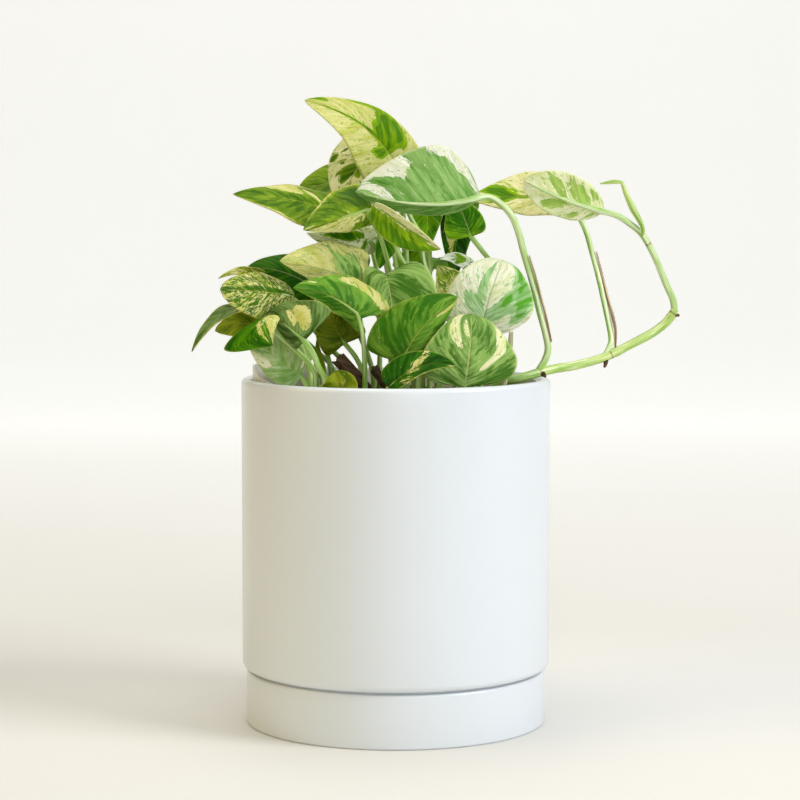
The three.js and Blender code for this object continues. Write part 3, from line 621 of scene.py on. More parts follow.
leafShapes = dict(
    small_rolled=leafOf((-3, -56, 151), (11, -57, 160), (25, -55, 160), (0, -0.95, 0.3), (7, 8),
        [(-4, -55, 149)], fold=(0.5, 0.1), cup=(0.7, -0.3), wave=0.3, lobe=0.05),
    front_heart=leafOf((29, -47, 150.5), (31, -48, 166), (32, -43, 181), (0.3, -0.94, 0.1), (24, 20),
        [(29, -46, 148.6)], fold=(-0.1, -0.05), lobe=0.03, fullness=0.5, sweep=(0.09, 0.02)),
    front_broad=leafOf((2, -45, 160), (11, -47, 175), (26, -41, 188), (-0.2, -0.95, 0.25), (9, 19),
        [(1, -43, 154)], fold=(-0.4, 0), cup=(-0.4, -0.3), fullness=0.65),
    marble_round=leafOf((36, -24, 170), (39.5, -27, 187), (46, -23, 203), (0.05, -0.98, 0.2), (20, 18),
        [(33, -22, 160), (30, -24, 153)], fold=(0, 0.1), lobe=0, fullness=0.5, taper=0.95, sweep=(0.12, 0)),
    olive_speckle=leafOf((29, 2, 184), (24, 3, 192), (18, 4, 200), (0, -0.95, 0.3), (9, 9),
        [(29, 2, 172), (26, 0, 152)]),
    heart_down=leafOf((-4, -25, 197), (-2, -29.5, 187), (0, -35, 175), (0.05, -0.85, 0.5), (11, 20),
        [(-3, -16, 194), (-2, -13, 186), (0, -12, 173), (-1, -14, 153)], fold=(0.1, 0.1), lobe=0.36,
        taper=0.95, fullness=0.9, sweep=(0, 0.1)),
    long_middle=leafOf((-14, -39.5, 179), (-26, -42, 188), (-43, -46, 192), (-0.1, -0.85, 0.5), (13, 7),
        [(-13.5, -36, 168), (-13, -35, 154)], fold=(0.05, -0.8), lobe=0.34),
    speckled_left=leafOf((-14, -24, 193), (-31, -30, 199), (-49, -34, 203), (-0.05, -0.8, 0.6), (18, 8),
        [(-10, -18, 189), (-7, -20, 177), (-7, -24, 153)], fold=(0.05, -0.7)),
    dark_left=leafOf((-34, 6, 189), (-49, 4, 197), (-65, 0, 199), (0, -0.75, 0.65), (13, 12),
        [(-25, 8, 183), (-15, 8, 167), (-10, 6, 152)], fold=(0, -0.3)),
    marbled_left=leafOf((-43, -28, 188), (-58, -34, 190), (-74, -38, 191), (-0.1, -0.8, 0.6), (11, 12),
        [(-38, -20, 181), (-34, -14, 173), (-30, -14, 164), (-28, -16, 155)], fold=(0, -0.2), fullness=0.6,
        lobe=0, taper=1.2),
    curled_tip=leafOf((-58, -12, 196.5), (-67, -16, 198), (-76, -20, 195), (0, -0.8, 0.6), (2.6, 2.2),
        [(-50, -10, 189), (-42, -8, 180), (-30, -6, 166), (-20, -2, 154)], wave=0.2),
    far_left=leafOf((-57, -12, 180), (-74, -20, 180), (-87, -26, 164), (-0.3, -0.5, 0.8), (6, 6),
        [(-46, -12, 173), (-35, -9, 164), (-27, -8, 155)]),
    olive_round=leafOf((-55, -24, 175), (-66, -26, 176), (-77, -28, 173), (0, -0.95, 0.3), (6, 8),
        [(-46, -26, 172), (-40, -30, 168), (-37, -34, 160), (-36, -38, 154)], fullness=0.6),
    front_left=leafOf((-55.5, -45, 179.5), (-54, -49, 174), (-51, -51, 168), (-0.1, -0.85, 0.5), (21, 7),
        [(-54.5, -38, 178), (-51, -34.5, 173), (-44, -35, 167), (-34, -41, 156)], fold=(-0.3, -0.2), lobe=0,
        fullness=1.1, taper=0.9, sweep=(0, -0.35)),
    patched=leafOf((-38, -45, 170), (-44, -44.5, 175), (-53, -39, 182), (0.1, -0.98, 0.1), (17, 7),
        [(-35, -44, 165), (-32, -44, 158), (-30, -43, 154)], fold=(0.12, -0.6), lobe=0.2, fullness=0.5,
        stalk=1.4),
    in_liner=leafOf((-40, -31, 154), (-52, -25, 162), (-64, -17, 172), (0.1, -0.95, 0.2), (13, 9),
        [(-38, -32, 150)], fullness=0.6, lobe=0.05),
    under_long=leafOf((-22, -18, 167), (-27, -18, 176), (-33, -16, 187), (0, -0.95, 0.3), (11, 10),
        [(-17, -20, 161), (-14, -22, 154)]),
    yellow=leafOf((-24, -52, 149.5), (-24, -52, 153), (-26, -51, 157), (0, -0.97, 0.2), (8, 8),
        [(-24, -51, 148.4)], lobe=0, fullness=0.5),
    sliver=leafOf((-32, -20, 153), (-33, -19, 160), (-34, -18, 169), (0, -1, 0.1), (2.5, 2.5),
        [(-31.5, -20, 150)], wave=0.1, stalk=0.9),
    folded=leafOf((-10, -25, 225.5), (-24, -31, 221), (-39, -36, 216), (0, -0.9, 0.45), (15, 8),
        [(-3, -27, 218), (1, -24, 206), (4, -20, 200), (7, -16, 181), (9, -14, 153)], fold=(-0.1, -0.8)),
    under_folded=leafOf((-10, -7.5, 211), (-23, -13.5, 211), (-38, -21, 214.5), (0, -0.87, -0.45), (7, 7),
        [(-5, -6, 203), (-3, -2, 181), (-2, -5, 152)]),
    pale_under=leafOf((-2, 13, 213), (-14, 12, 212), (-26, 11, 214), (0, 0.9, -0.3), (8, 8),
        [(0, 10, 201), (2, 8, 176), (2, 8, 152)]),
    draped=leafOf((-9, -40, 227), (4, -42, 217), (19, -40, 208), (-0.1, -0.95, 0.2), (9, 5),
        [(-11, -36, 223), (-7, -26, 214), (-3, -16, 200), (2, -10, 177), (3, -12, 153)], fold=(-0.1, 1.1),
        taper=1.1, lobe=0.04),
    top=leafOf((1, 8, 242), (-14, -2, 260), (-39, -14, 271), (-0.2, -0.85, 0.5), (12.5, 16),
        [(6, 6, 222), (11, 4, 212), (12, 2, 202), (17, 0, 189), (19, -4, 168), (18, -8, 152)], lobe=0.12,
        fullness=0.7),
    spotted_back=leafOf((-7, 18, 251), (-19, 13, 239), (-21, 10, 222), (-0.15, -0.95, 0.25), (14, 12),
        [(-1, 20, 243), (4, 18, 215), (5, 12, 185), (5, 7, 160), (5, 7, 152)]),
    round_back=leafOf((-18, 34, 234), (-30, 33, 236), (-44, 30, 231), (0, -0.8, 0.6), (11, 9),
        [(-10, 34, 227), (-4, 28, 202), (-2, 18, 171), (-2, 14, 153)], fullness=0.6),
    left_pointed=leafOf((-25, 0, 223), (-47, -6, 229), (-70, -12, 231), (-0.1, -0.6, 0.8), (12, 15),
        [(-16, 4, 219), (-9, 6, 201), (-7, 4, 176), (-7, 0, 152)], fold=(0.1, 0)),
    under_arch=leafOf((32, -14, 213), (29, -12, 222), (24, -8, 233), (0, -0.97, 0.2), (8, 10),
        [(37, -14, 207), (41, -12, 201), (42, -6, 177), (37, -10, 152)], lobe=0.05),
    hanging_green=leafOf((14, 10, 230), (14, 9, 219), (15, 6, 208), (0, -0.97, 0.2), (7, 7),
        [(14, 14, 226), (15, 16, 200), (15, 14, 153)]),
    hanging_striped=leafOf((28, 14, 227), (26.5, 12, 211), (26, 10, 193), (0, -0.97, 0.2), (7.5, 7.5),
        [(28.6, 17.5, 221), (30.6, 19.5, 200), (31.2, 18.2, 153)]),
    dark_triangle=leafOf((-4, -10, 213), (-6, -12, 206), (-7, -14, 199), (0, -0.97, 0.2), (3.5, 6),
        [(-1, -7, 211), (6, -3, 190), (10, -2, 153)], wave=0.2, stalk=0.8),
    small_tip=leafOf((32, -8, 201), (25, -10, 204), (19, -12, 203), (0, -0.95, 0.3), (2.5, 3.5),
        [(35, -6, 196), (36, -2, 178), (34, -4, 152)], wave=0.2, stalk=0.8),
    behind_stalks=leafOf((3, 22, 197), (8, 22, 203), (13, 22, 208), (0, -0.95, 0.3), (5, 6),
        [(0, 24, 190), (-2, 24, 170), (-2, 22, 152)], wave=0.3, stalk=0.8),
    back_right=leafOf((31, 38, 177), (39, 48, 176), (48, 60, 164), (0.3, 0.5, 0.8), (12, 12),
        [(24, 30, 170), (20, 26, 152)]),
    back_low=leafOf((8, 40, 176), (5, 53, 177), (1, 68, 166), (0, 0.5, 0.85), (13, 13),
        [(8, 32, 168), (8, 28, 152)]),
    back_left=leafOf((-30, 34, 192), (-38, 45, 195), (-46, 58, 186), (-0.3, 0.5, 0.8), (11, 12),
        [(-18, 28, 186), (-4, 28, 172), (5, 32, 152)]),
    back_middle=leafOf((16, 32, 198), (19, 44, 202), (22, 58, 193), (0.1, 0.5, 0.85), (10, 10),
        [(12, 24, 191), (8, 20, 170), (8, 20, 152)]),
    back_upper=leafOf((3, 36, 238), (0, 48, 238), (-4, 60, 229), (0, 0.5, 0.85), (12, 13),
        [(2, 28, 231), (4, 26, 200), (3, 24, 170), (4, 22, 152)]),
    back_side=leafOf((22, 28, 226), (29, 40, 227), (34, 54, 216), (0.2, 0.5, 0.85), (11, 11),
        [(16, 22, 218), (13, 21, 190), (12, 16, 152)]),
    arch=leafOf((36, -22, 230), (11, -27, 227), (-17, -30, 232), (0, 0.97, 0.2), (9, 25.5),
        [(39.8, -22, 229.8), (44.9, -22, 226.9), (49.2, -22, 222.2), (52.2, -22, 215.4), (54.8, -21, 206),
        (58.8, -20, 192.7), (61.8, -20, 180.7), (64.5, -20, 170.8), (65.4, -20, 164.8), (64.1, -20, 160.1),
        (61, -21, 155)], fold=(0.9, 0.1), lobe=0, fullness=0.55, taper=1.05, stalk=1.6, rooted=False),
    vine_back=leafOf((75, 8, 229), (54, 6, 230), (32, 2, 229), (0, -0.85, 0.5), (13, 9.5),
        [(79, 9, 223), (82.9, 7, 216), (85.9, 5, 205.8), (88.4, 2, 195.9), (91.6, -2, 180.8),
        (93.3, -4, 172.1), (93.6, -6, 167), (90.8, -8, 161)], sweep=(0, 0.12), stalk=1.35, rooted=False),
    vine_tip=leafOf((90, -4, 224), (73, -8, 229), (55, -10, 237), (0, 0.9, 0.35), (9, 11.5),
        [(96.4, -4, 221.6), (101.7, -3, 218.2), (106.6, -2, 214.2), (112.1, 0, 205.5), (118.4, 1, 191.1),
        (121.2, 2, 185), (122, 2, 179.5)], lobe=0, fullness=0.5, taper=1.4, stalk=1.5, rooted=False),
)
blade = dict(
    thickness=0.42, ribDepth=0.3, ribWidth=0.9, veins=12, veinHeight=0.1, veinLean=0.55,
    lobeEnd=0.45, ribLag=0.35, bunching=1.35, waves=2.2, waveShift=1.3,
    petioleSides=14, keel=(0.94, 0.78, 0.6, 0.44, 0.3, 0.18, 0.08), rootDepth=6,
)


def outlineOf(leaf, q):
    along = q ** blade["bunching"]
    end = blade["lobeEnd"]
    back = leaf["lobe"] * math.sin(math.pi * q / end) if q < end else 0
    across = max(math.sin(math.pi * q ** leaf["taper"]), 0) ** leaf["fullness"]
    return along * (1 - blade["ribLag"] * (1 - q)), along - back, across


def midribOf(leaf, t):
    base, mid, tip = leaf["base"], leaf["mid"], leaf["tip"]
    slope = -3 * base + 4 * mid - tip
    if t < 0:
        return base + slope * t, slope.normalized()
    point = base * ((1 - t) * (1 - 2 * t)) + mid * (4 * t * (1 - t)) + tip * (t * (2 * t - 1))
    tangent = base * (4 * t - 3) + mid * (4 - 8 * t) + tip * (4 * t - 1)
    return point, tangent.normalized()


def faceOf(leaf, tangent):
    return (leaf["face"] - tangent * leaf["face"].dot(tangent)).normalized()


# The solid's own blade surface, with a sunk midrib and puckered side veins added.
def bladePoint(leaf, u, q):
    rib, margin, spread = outlineOf(leaf, q)
    part = abs(u)
    half, sign = (0, 1) if u > 0 else (1, -1)
    along = rib + (margin - rib) * part + leaf["sweep"][half] * spread * part
    across = spread * part
    point, tangent = midribOf(leaf, along)
    face = faceOf(leaf, tangent)
    reach = across * leaf["width"][half]
    slope = leaf["fold"][half] + leaf["cup"][half] * across / 2
    wave = (leaf["wave"] * across * across
            * math.sin(math.tau * blade["waves"] * along + blade["waveShift"] * sign))
    channel = blade["ribDepth"] * math.exp(-(reach / blade["ribWidth"]) ** 2) * (1 - q)
    pucker = blade["veinHeight"] * math.cos(math.tau * blade["veins"] * q) * math.sin(math.pi * part)
    lift = reach * math.sin(slope) + wave - channel + pucker
    return point + tangent.cross(face) * (sign * reach * math.cos(slope)) + face * lift


# How pale a spot is, under 0.2 dark green and over 0.5 cream: the leaf's own tone, its margin,
# and its listed patches.
def creamAt(paint, u, q, lean):
    value = paint["tone"] + paint["rim"] * abs(u) ** 12
    for across, along, wide, tall, amount in paint["patches"]:
        further = q - along - lean * (abs(u) - abs(across))
        distance = ((u - across) / wide) ** 2 + (further / tall) ** 2
        value += amount * math.exp(-distance ** 1.6)
    return value


# The blade, its UV in decimetres sheared along the veins. Its attributes say how pale each spot
# is, where it lies between the veins, and whether it is on the under side.
def makeBlade(name, leaf, paint):
    length = (leaf["mid"] - leaf["base"]).length + (leaf["tip"] - leaf["mid"]).length
    widest = max(leaf["width"])
    along = max(24, min(60, int(length * 1.15)))
    across = 2 * max(8, min(18, int(widest * 0.9)))
    item = shapedGrid(name + "Blade", across, along, lambda u, q: bladePoint(leaf, u, q) * mm)
    mesh = item.data
    layer = mesh.uv_layers[0]
    layer.name = "blade"
    slant = blade["veinLean"] * widest / length
    spots = {}
    for loop, corner in zip(mesh.loops, layer.data):
        u, q = 2 * corner.uv[0] - 1, corner.uv[1]
        lean = slant * abs(u)
        spots[loop.vertex_index] = (u, q, lean)
        corner.uv = (u * widest * mm * 10, (q - lean) * length * mm * 10)
    cream = mesh.attributes.new("cream", "FLOAT", "POINT")
    vein = mesh.attributes.new("vein", "FLOAT_VECTOR", "POINT")
    for index, (u, q, lean) in spots.items():
        cream.data[index].value = creamAt(paint, u, q, slant)
        vein.data[index].vector = (u, q - lean, 0)
    mergeDoubles(item)
    count = len(mesh.vertices)
    solid = item.modifiers.new("thick", "SOLIDIFY")
    solid.thickness = blade["thickness"] * mm
    solid.offset = 0
    bpy.ops.object.modifier_apply(modifier="thick")
    middle = min(range(count), key=lambda i: (mesh.vertices[i].co / mm - leaf["mid"]).length)
    gap = mesh.vertices[middle].co - mesh.vertices[middle + count].co
    upper = gap.dot(leaf["face"]) > 0
    under = mesh.attributes.new("under", "FLOAT", "POINT")
    for index in range(len(mesh.vertices)):
        under.data[index].value = float((index < count) != upper)
    return cleaned(item, distance=mergeDistance / 100)


# The stalk, and the rib that it becomes under the blade.
def makeStalk(name, leaf, skin):
    radius = leaf["stalk"]
    keel = []
    for t in blade["keel"]:
        point, tangent = midribOf(leaf, t)
        size = radius * (1 - t) ** 0.8 * 0.8
        keel.append(point - faceOf(leaf, tangent) * (size * 0.82 + 0.3 * (1 - t)))
    stalk = [Vector(p) for p in leaf["petiole"]]
    if leaf["rooted"]:
        foot = stalk[-1]
        for height in (3, -blade["rootDepth"]):
            stalk.append(Vector((foot.x, foot.y, mix["top"] + height)))
    points = keel + stalk
    lengths = lengthsOf([p * mm for p in points])
    joint = lengths[len(keel) - 1] / lengths[-1]

    def size(t):
        if t < joint:
            return radius * (0.16 + 0.72 * (t / joint) ** 1.2)
        rest = (t - joint) / (1 - joint)
        swollen = 0.1 * math.exp(-((rest - 0.02) / 0.03) ** 2)
        return radius * (0.88 + swollen + 0.12 * rest)

    def dent(t, angle):
        groove = math.exp(-(angle / 0.55) ** 2)
        return 0.24 * groove * min(max((t - joint) * 14, 0), 1)

    steps = int(max(24, min(90, lengths[-1] / mm * 0.62)))
    return makeStem(name + "Stalk", points, skin, size, blade["petioleSides"], steps, dent, leaf["face"])


greens = dict(
    deep=("0c3c00", "347802"), fresh=("246400", "84b804"), olive=("4c6600", "98a41c"),
    # On the next line, the palette after sun has a light tone that is partly a painted sheen, the pale
    # reflection on a leaf's under side.
    moss=("3c6800", "8cac1c"), sun=("4c8000", "a4ca10"), greySheen=("3c8806", "acd480"),
    lime=("7cb418", "cce67c"), shade=("347210", "88b840"), dusk=("44741a", "a6ca6c"),
    mist=("78aa50", "c8deaa"), dim=("34540e", "86a65a"), mint=("58a824", "cae8b4"),
    leafy=("1c5c00", "5c9c04"), pine=("1e4a00", "4c7c0c"),
)
creams = dict(
    white=("f6f7ea", "dfe9bd"), ivory=("f0eebc", "d8dc90"), butter=("e0dc90", "c2c250"),
    bone=("fafae2", "d8e29c"), lemon=("fbfdd4", "e4f098"), pearl=("ffffee", "eaf0c4"),
    sand=("ece4ac", "cfc878"),
)


# A leaf's paint: how pale it and its margin are, its two palettes, and its patches, each
# (across, along, half width, half length, amount) in hundredths. fleck is how many specks it has,
# wild how far noise breaks up the edges, marble how strong its streaks are and grain how fine.
def paintOf(tone, rim, green, cream, *patches, fleck=1, wild=0.3, marble=0.5, grain=1):
    return dict(tone=tone, rim=rim, green=green, cream=cream, fleck=fleck, wild=wild, marble=marble,
                grain=grain, patches=[[part / 100 for part in patch] for patch in patches])


plainPaint = paintOf(0.25, 0.2, "fresh", "ivory", fleck=0.5)
paints = dict(
    top=paintOf(0.72, 0, "sun", "butter", (22, 46, 30, 12, -85), (66, 45, 30, 12, -85),
        (-22, 40, 16, 6, -70), (3, 57, 7, 6, -60), (6, 80, 5, 24, -80), (97, 68, 6, 12, -70),
        (90, 95, 30, 5, -60), (-60, 50, 30, 3, -20), (-35, 72, 30, 3, -20), wild=0.1, marble=0.35),
    spotted_back=paintOf(0.72, 0, "moss", "ivory", (10, 57, 40, 7, -90), (27, 68, 20, 5, -80),
        (88, 53, 10, 3.5, -90), (70, 43, 6, 2, -60), (62, 66, 6, 2, -60), (55, 55, 8, 2, -50), wild=0.14),
    round_back=paintOf(0.2, 0.1, "moss", "ivory", fleck=0.5),
    left_pointed=paintOf(0.16, 0.4, "moss", "butter", (72, 60, 34, 16, 55), (45, 39, 35, 2.5, 50),
        (-100, 70, 12, 20, 30), (-10, 75, 30, 12, 10), fleck=0.5),
    folded=paintOf(0.14, 0.3, "moss", "butter", (-50, 62, 60, 34, 65), (0, 96, 30, 10, 50),
        (97, 62, 10, 35, 30), (70, 30, 30, 15, -10), marble=0.8),
    under_folded=paintOf(0.66, 0.2, "fresh", "lemon", (55, 62, 40, 20, -80), (-90, 80, 30, 4, -40),
        (-20, 30, 50, 5, -20), wild=0.14, marble=0.4),
    # pale_under and arch below take the palette with painted sheen, so their light green is partly a
    # painted reflection.
    pale_under=paintOf(0.6, 0.2, "greySheen", "white", (-30, 55, 50, 4, -30), (50, 25, 50, 20, -50),
        (-50, 35, 30, 6, -30), fleck=0.5),
    draped=paintOf(0.2, 0.1, "sun", "ivory", (-75, 50, 60, 70, 60), (4, 50, 12, 50, 30),
        (75, 50, 30, 40, -15), (0, 97, 60, 10, 40), (0, 10, 50, 14, 35), fleck=0.5, wild=0.2),
    arch=paintOf(0.31, 0, "greySheen", "pearl", (-86, 87, 36, 12, 42), (-55, 99, 80, 6, 45),
        (-97, 50, 16, 12, 45), (-85, 28, 30, 10, 50), (-50, 8, 70, 10, 45), (-50, 88, 16, 5, -30),
        (-40, 60, 30, 20, -6), (60, 60, 60, 40, -14), wild=0.16, marble=0.7),
    vine_back=paintOf(0.64, 0, "sun", "sand", (15, 75, 80, 9, -70), (-5, 62, 8, 7, -50),
        (30, 30, 30, 10, -40), wild=0.22, marble=0.8),
    vine_tip=paintOf(0.6, 0, "lime", "lemon", (-35, 50, 36, 13, -32), (-42, 74, 36, 6, -30),
        (42, 70, 36, 9, -30), (60, 45, 24, 6, -18), (-68, 30, 16, 8, -34), (50, 25, 30, 5, -14), wild=0.18,
        marble=0.7),
    under_arch=paintOf(0.14, 0.25, "fresh", "ivory", (60, 38, 40, 5, 40), fleck=0.5),
    hanging_green=paintOf(0.26, 0.1, "fresh", "ivory", (-60, 50, 50, 50, -20), fleck=0.5),
    hanging_striped=paintOf(0.12, 0.2, "deep", "butter", (35, 55, 42, 30, 60), (80, 42, 30, 8, -50),
        fleck=0.5, wild=0.2),
    marble_round=paintOf(0.64, 0, "mint", "bone", (-25, 50, 36, 10, -36), (-20, 68, 16, 10, -36),
        (-28, 84, 12, 10, -32), (30, 50, 24, 13, -36), (42, 64, 12, 8, -32), (85, 72, 34, 22, -60),
        (75, 42, 14, 16, -40), (98, 95, 30, 6, -40), wild=0.18),
    front_heart=paintOf(0.2, 0.1, "dusk", "ivory", (-60, 84, 50, 9, 60), (-20, 86, 20, 6, 50),
        (34, 42, 16, 5, 50), (55, 54, 26, 6, 55), (74, 68, 16, 12, 50), (92, 82, 16, 10, 50),
        (0, 100, 100, 3, 40), (-85, 30, 40, 20, 10), (75, 20, 30, 12, -10), wild=0.2, marble=0.4),
    # front_broad's patch at (60, 50) is a painted highlight: lighter green where the gloss catches the
    # light.
    front_broad=paintOf(0.1, 0.1, "shade", "butter", (70, 96, 60, 6, 65), (-70, 28, 40, 12, 24),
        (-30, 90, 40, 10, 14), (60, 50, 40, 15, 12), (-50, 62, 30, 6, 12), fleck=0.5, marble=0.8),
    heart_down=paintOf(0.21, 0.1, "dusk", "ivory", (-30, 60, 30, 20, -10), fleck=0.5, wild=0.2),
    long_middle=paintOf(0.14, 0.15, "shade", "butter", (35, 30, 40, 20, 12), (90, 36, 30, 12, 60),
        (80, 55, 14, 14, 50), (72, 86, 22, 5, 45), (-95, 60, 10, 40, 30), wild=0.25),
    speckled_left=paintOf(0.62, 0, "dusk", "butter", (25, 36, 36, 14, -45), (15, 24, 30, 6, -30),
        (70, 4, 100, 8, -50), wild=0.22, marble=0.9),
    dark_left=paintOf(0.05, 0.06, "leafy", "ivory", fleck=0.5, wild=0.16),
    marbled_left=paintOf(0.5, 0.05, "pine", "butter", (0, 98, 80, 8, -40), (12, 50, 12, 40, -30), wild=0.2,
        marble=2, grain=2),
    curled_tip=paintOf(0.48, 0.3, "olive", "butter", fleck=0.5),
    far_left=paintOf(0.26, 0.4, "dim", "butter", (0, 55, 40, 12, 20), (-50, 40, 30, 20, 15), marble=0.8),
    front_left=paintOf(0.1, 0.2, "leafy", "butter", (-60, 50, 70, 80, 75), (13, 60, 7, 40, 50),
        (60, 50, 30, 40, 6), wild=0.25, marble=0.9),
    patched=paintOf(0.18, 0.1, "dim", "butter", (50, 58, 36, 18, 70), (30, 75, 24, 8, 50),
        (-60, 66, 50, 20, -20), wild=0.2, marble=0.6),
    in_liner=paintOf(0.28, 0.1, "mist", "bone", (-70, 68, 40, 13, 50), (75, 48, 24, 5, 45),
        (35, 20, 20, 4, 40), (-20, 50, 60, 40, -10), fleck=0.5, wild=0.2),
    under_long=paintOf(0.12, 0, "olive", "butter", (20, 88, 100, 20, 22), marble=1, grain=2),
    olive_round=paintOf(0.22, 0.4, "olive", "butter", fleck=0.8),
    olive_speckle=paintOf(0.5, 0.2, "moss", "butter", marble=1.4, grain=2),
    yellow=paintOf(0.22, 0.1, "olive", "butter", (30, 60, 6, 50, 50), fleck=0.5),
    small_rolled=paintOf(0.18, 0.2, "deep", "butter", (-60, 66, 45, 8, 35), (0, 52, 45, 13, 35),
        (60, 38, 45, 14, 35), (85, 96, 50, 4, 50), (-60, 30, 40, 20, 14), wild=0.2, marble=1.1, grain=1.6),
    small_tip=paintOf(0.6, 0.2, "fresh", "white", (10, 42, 80, 10, -40), fleck=0.5),
    dark_triangle=paintOf(0.14, 0.1, "fresh", "ivory", fleck=0.5),
    sliver=paintOf(0.35, 0.2, "olive", "butter", fleck=0.5),
)

# Noise on a leaf: repeats in a decimetre across and along, detail, roughness and distortion.
# The look gives the levels between which each part fades in, the green of the under side, and
# the colour and share of the light that comes through.
leafNoise = dict(
    blotch=(8, 20, 3, 0.6, 0.8), streak=(16, 44, 5, 0.7, 1.2), fleck=(44, 90, 2, 0.5, 0.8),
    fibre=(9, 170, 2, 0.5, 0), mottle=(9, 26, 3, 0.55, 0),
)
leafLook = dict(
    cream=(0.505, 0.52), light=(0.17, 0.21), mottle=(0.38, 0.62), creamMottle=(0.38, 0.68),
    groove=(0.2, -1), ribs=(0.985, 1), midrib=(0.035, 0.008), edge=(0.955, 0.99),
    underGreen=(0.3, 0.52, 0.14), through=(0.5, 0.66, 0.08, 1), throughShare=0.1,
)


def leafMaterial(name, paint, seed):
    look = leafLook
    material, where = newMaterial(name + "Skin", {"Specular IOR Level": 0.1}, "blade")
    tree = where.tree
    cream, under, vein = (addNode(tree, "Attribute", {"attribute_name": key})
                          for key in ("cream", "under", "vein"))
    cream, under, vein = Wire(cream, "Fac"), Wire(under, "Fac"), Wire(vein, "Vector")
    across, along = axesOf(vein)[:2]
    shift = (seed * 3.7, seed * 1.9, seed * 0.83)

    def pattern(key, finer=1):
        x, y, detail, roughness, distortion = leafNoise[key]
        spot = stretched(where, x * finer, y * finer, 1, shift)
        return noiseOf(spot, 1, detail, roughness, distortion)

    streak = pattern("streak", paint["grain"])
    fleck, fibre, mottle = pattern("fleck"), pattern("fibre"), pattern("mottle")
    level = cream + (pattern("blotch") - 0.5) * paint["wild"] * 2.2 + (streak - 0.5) * paint["marble"]
    pale = smooth(level, *look["cream"])
    often = 0.6 - 0.05 * paint["fleck"]
    specks = smooth(fleck - level * 0.08, often, often + 0.02)
    seldom = 0.79 - 0.03 * paint["fleck"]
    dots = smooth(fleck + level * 0.25, seldom, seldom + 0.04)

    turns = along * (math.tau * blade["veins"])
    ribs = turns.math("COSINE", turns)
    groove = smooth(ribs, *look["groove"])
    dark, light = (srgb(text) for text in greens[paint["green"]])
    bright, soft = (srgb(text) for text in creams[paint["cream"]])
    midGreen = [a + (b - a) * 0.6 for a, b in zip(dark, light)]
    tone = (smooth(level, *look["light"]) * 0.42 + smooth(mottle, *look["mottle"]) * 0.5
            + (fibre - 0.5) * 0.35 - groove * 0.22)
    green = blend(dots * 0.8, blend(tone, dark, light), bright)
    ivory = blend(smooth(mottle, *look["creamMottle"]) * 0.8 + (fibre - 0.5) * 0.4, bright, soft)
    colour = blend(pale, green, blend(specks * 0.85, ivory, midGreen))

    reach = across.math("ABSOLUTE", across)
    middle = smooth(reach, *look["midrib"])
    ridge = middle.math("MAXIMUM", middle, smooth(ribs, *look["ribs"]) * 0.3)
    colour = blend(ridge * 0.45, colour, blend(pale, soft, light))
    colour = blend(smooth(reach, *look["edge"]) * 0.5, colour, soft)
    colour = blend(under * 0.2, colour, blend(pale, look["underGreen"], bright))
    height = fibre * 0.12 + mottle * 0.7 + ridge * -0.3 + noiseOf(where, 900) * 0.04
    glow = addNode(tree, "BsdfTranslucent", None, {"Color": look["through"]})
    mixed = addNode(tree, "MixShader", None, {0: look["throughShare"]})
    tree.links.new(shaderOf(material).outputs[0], mixed.inputs[1])
    tree.links.new(glow.outputs[0], mixed.inputs[2])
    tree.links.new(mixed.outputs[0], tree.nodes["Material Output"].inputs[0])
    return feed(material, colour=colour, rough=under * 0.12 + mottle * 0.14 + 0.3,
                normal=bumpOf(height, 0.7, 0.0024))


stemTints = dict(young="4f8a12", scar="7d6136", scarEdge=0.0012)


# Stem skin: streaks run lengthwise. young is the length in metres that stays greener at the foot,
# and rings are the lengths where brown scars go round.
def stemMaterial(name, dark, light, streak, young=0, rings=()):
    material, where = newMaterial(name, {
        "Specular IOR Level": 0.5, "Coat Weight": 0.25, "Coat Roughness": 0.25}, "blade")
    along = axesOf(where)[1]
    fibre = noiseOf(stretched(where, 1100, 60), 1, 3, 0.6)
    cloud = noiseOf(stretched(where, 420, 40), 1)
    colour = blend(smooth(cloud, 0.34, 0.66), srgb(dark), srgb(light))
    colour = blend(smooth(fibre, 0.52, 0.72) * 0.5, colour, srgb(streak))
    if young:
        colour = blend(smooth(along, young + 0.002, young - 0.002) * 0.6, colour, srgb(stemTints["young"]))
    edge = stemTints["scarEdge"]
    for place in rings:
        away = along - place
        scar = smooth(away.math("ABSOLUTE", away) + fibre * edge, edge, 0.0007)
        colour = blend(scar * 0.75, colour, srgb(stemTints["scar"]))
    return feed(material, colour=colour, rough=fibre * 0.2 + 0.3, normal=bumpOf(fibre, 0.35, 0.0004))


paleTints = ("8cb848", "dae8b8", "fafaf0")
shootTints = ("7ca828", "ccdc8c", "f6f6d8")
stalkSkin = stemMaterial("stalkSkin", "74a428", "bcd684", "ecf2d2")
paleSkin = stemMaterial("paleSkin", *paleTints)
scarSkin = stemMaterial("scarSkin", *paleTints, rings=(0.0605,))
vineStalks = dict(arch=paleSkin, vine_back=paleSkin, vine_tip=scarSkin)
vineSkin = stemMaterial("vineSkin", "86b03a", "d2de90", "f4f4d0", 0.036, (0.0365, 0.0715, 0.106))
shootSkin = stemMaterial("shootSkin", *shootTints, rings=(0.0262,))
shootTipSkin = stemMaterial("shootTipSkin", *shootTints, rings=(0.0094,))
stubSkin = stemMaterial("stubSkin", "8f8a58", "cfcda2", "3a2412")
huskSkin = stemMaterial("huskSkin", "74502e", "cbb488", "efe8d0")


# Each leaf is one piece with its stalk. Its node has the same name after leaf_.
for seed, (name, leaf) in enumerate(leafShapes.items()):
    node = "leaf_" + name
    paint = paints.get(name, plainPaint)
    skin = makeBlade(node, leaf, paint)
    skin.data.materials.append(leafMaterial(node, paint, seed))
    stalk = makeStalk(node, leaf, vineStalks.get(name, stalkSkin))
    finishPiece(joined(node + "Leaf", skin, stalk), [node], "leaf")
print("leaves done")


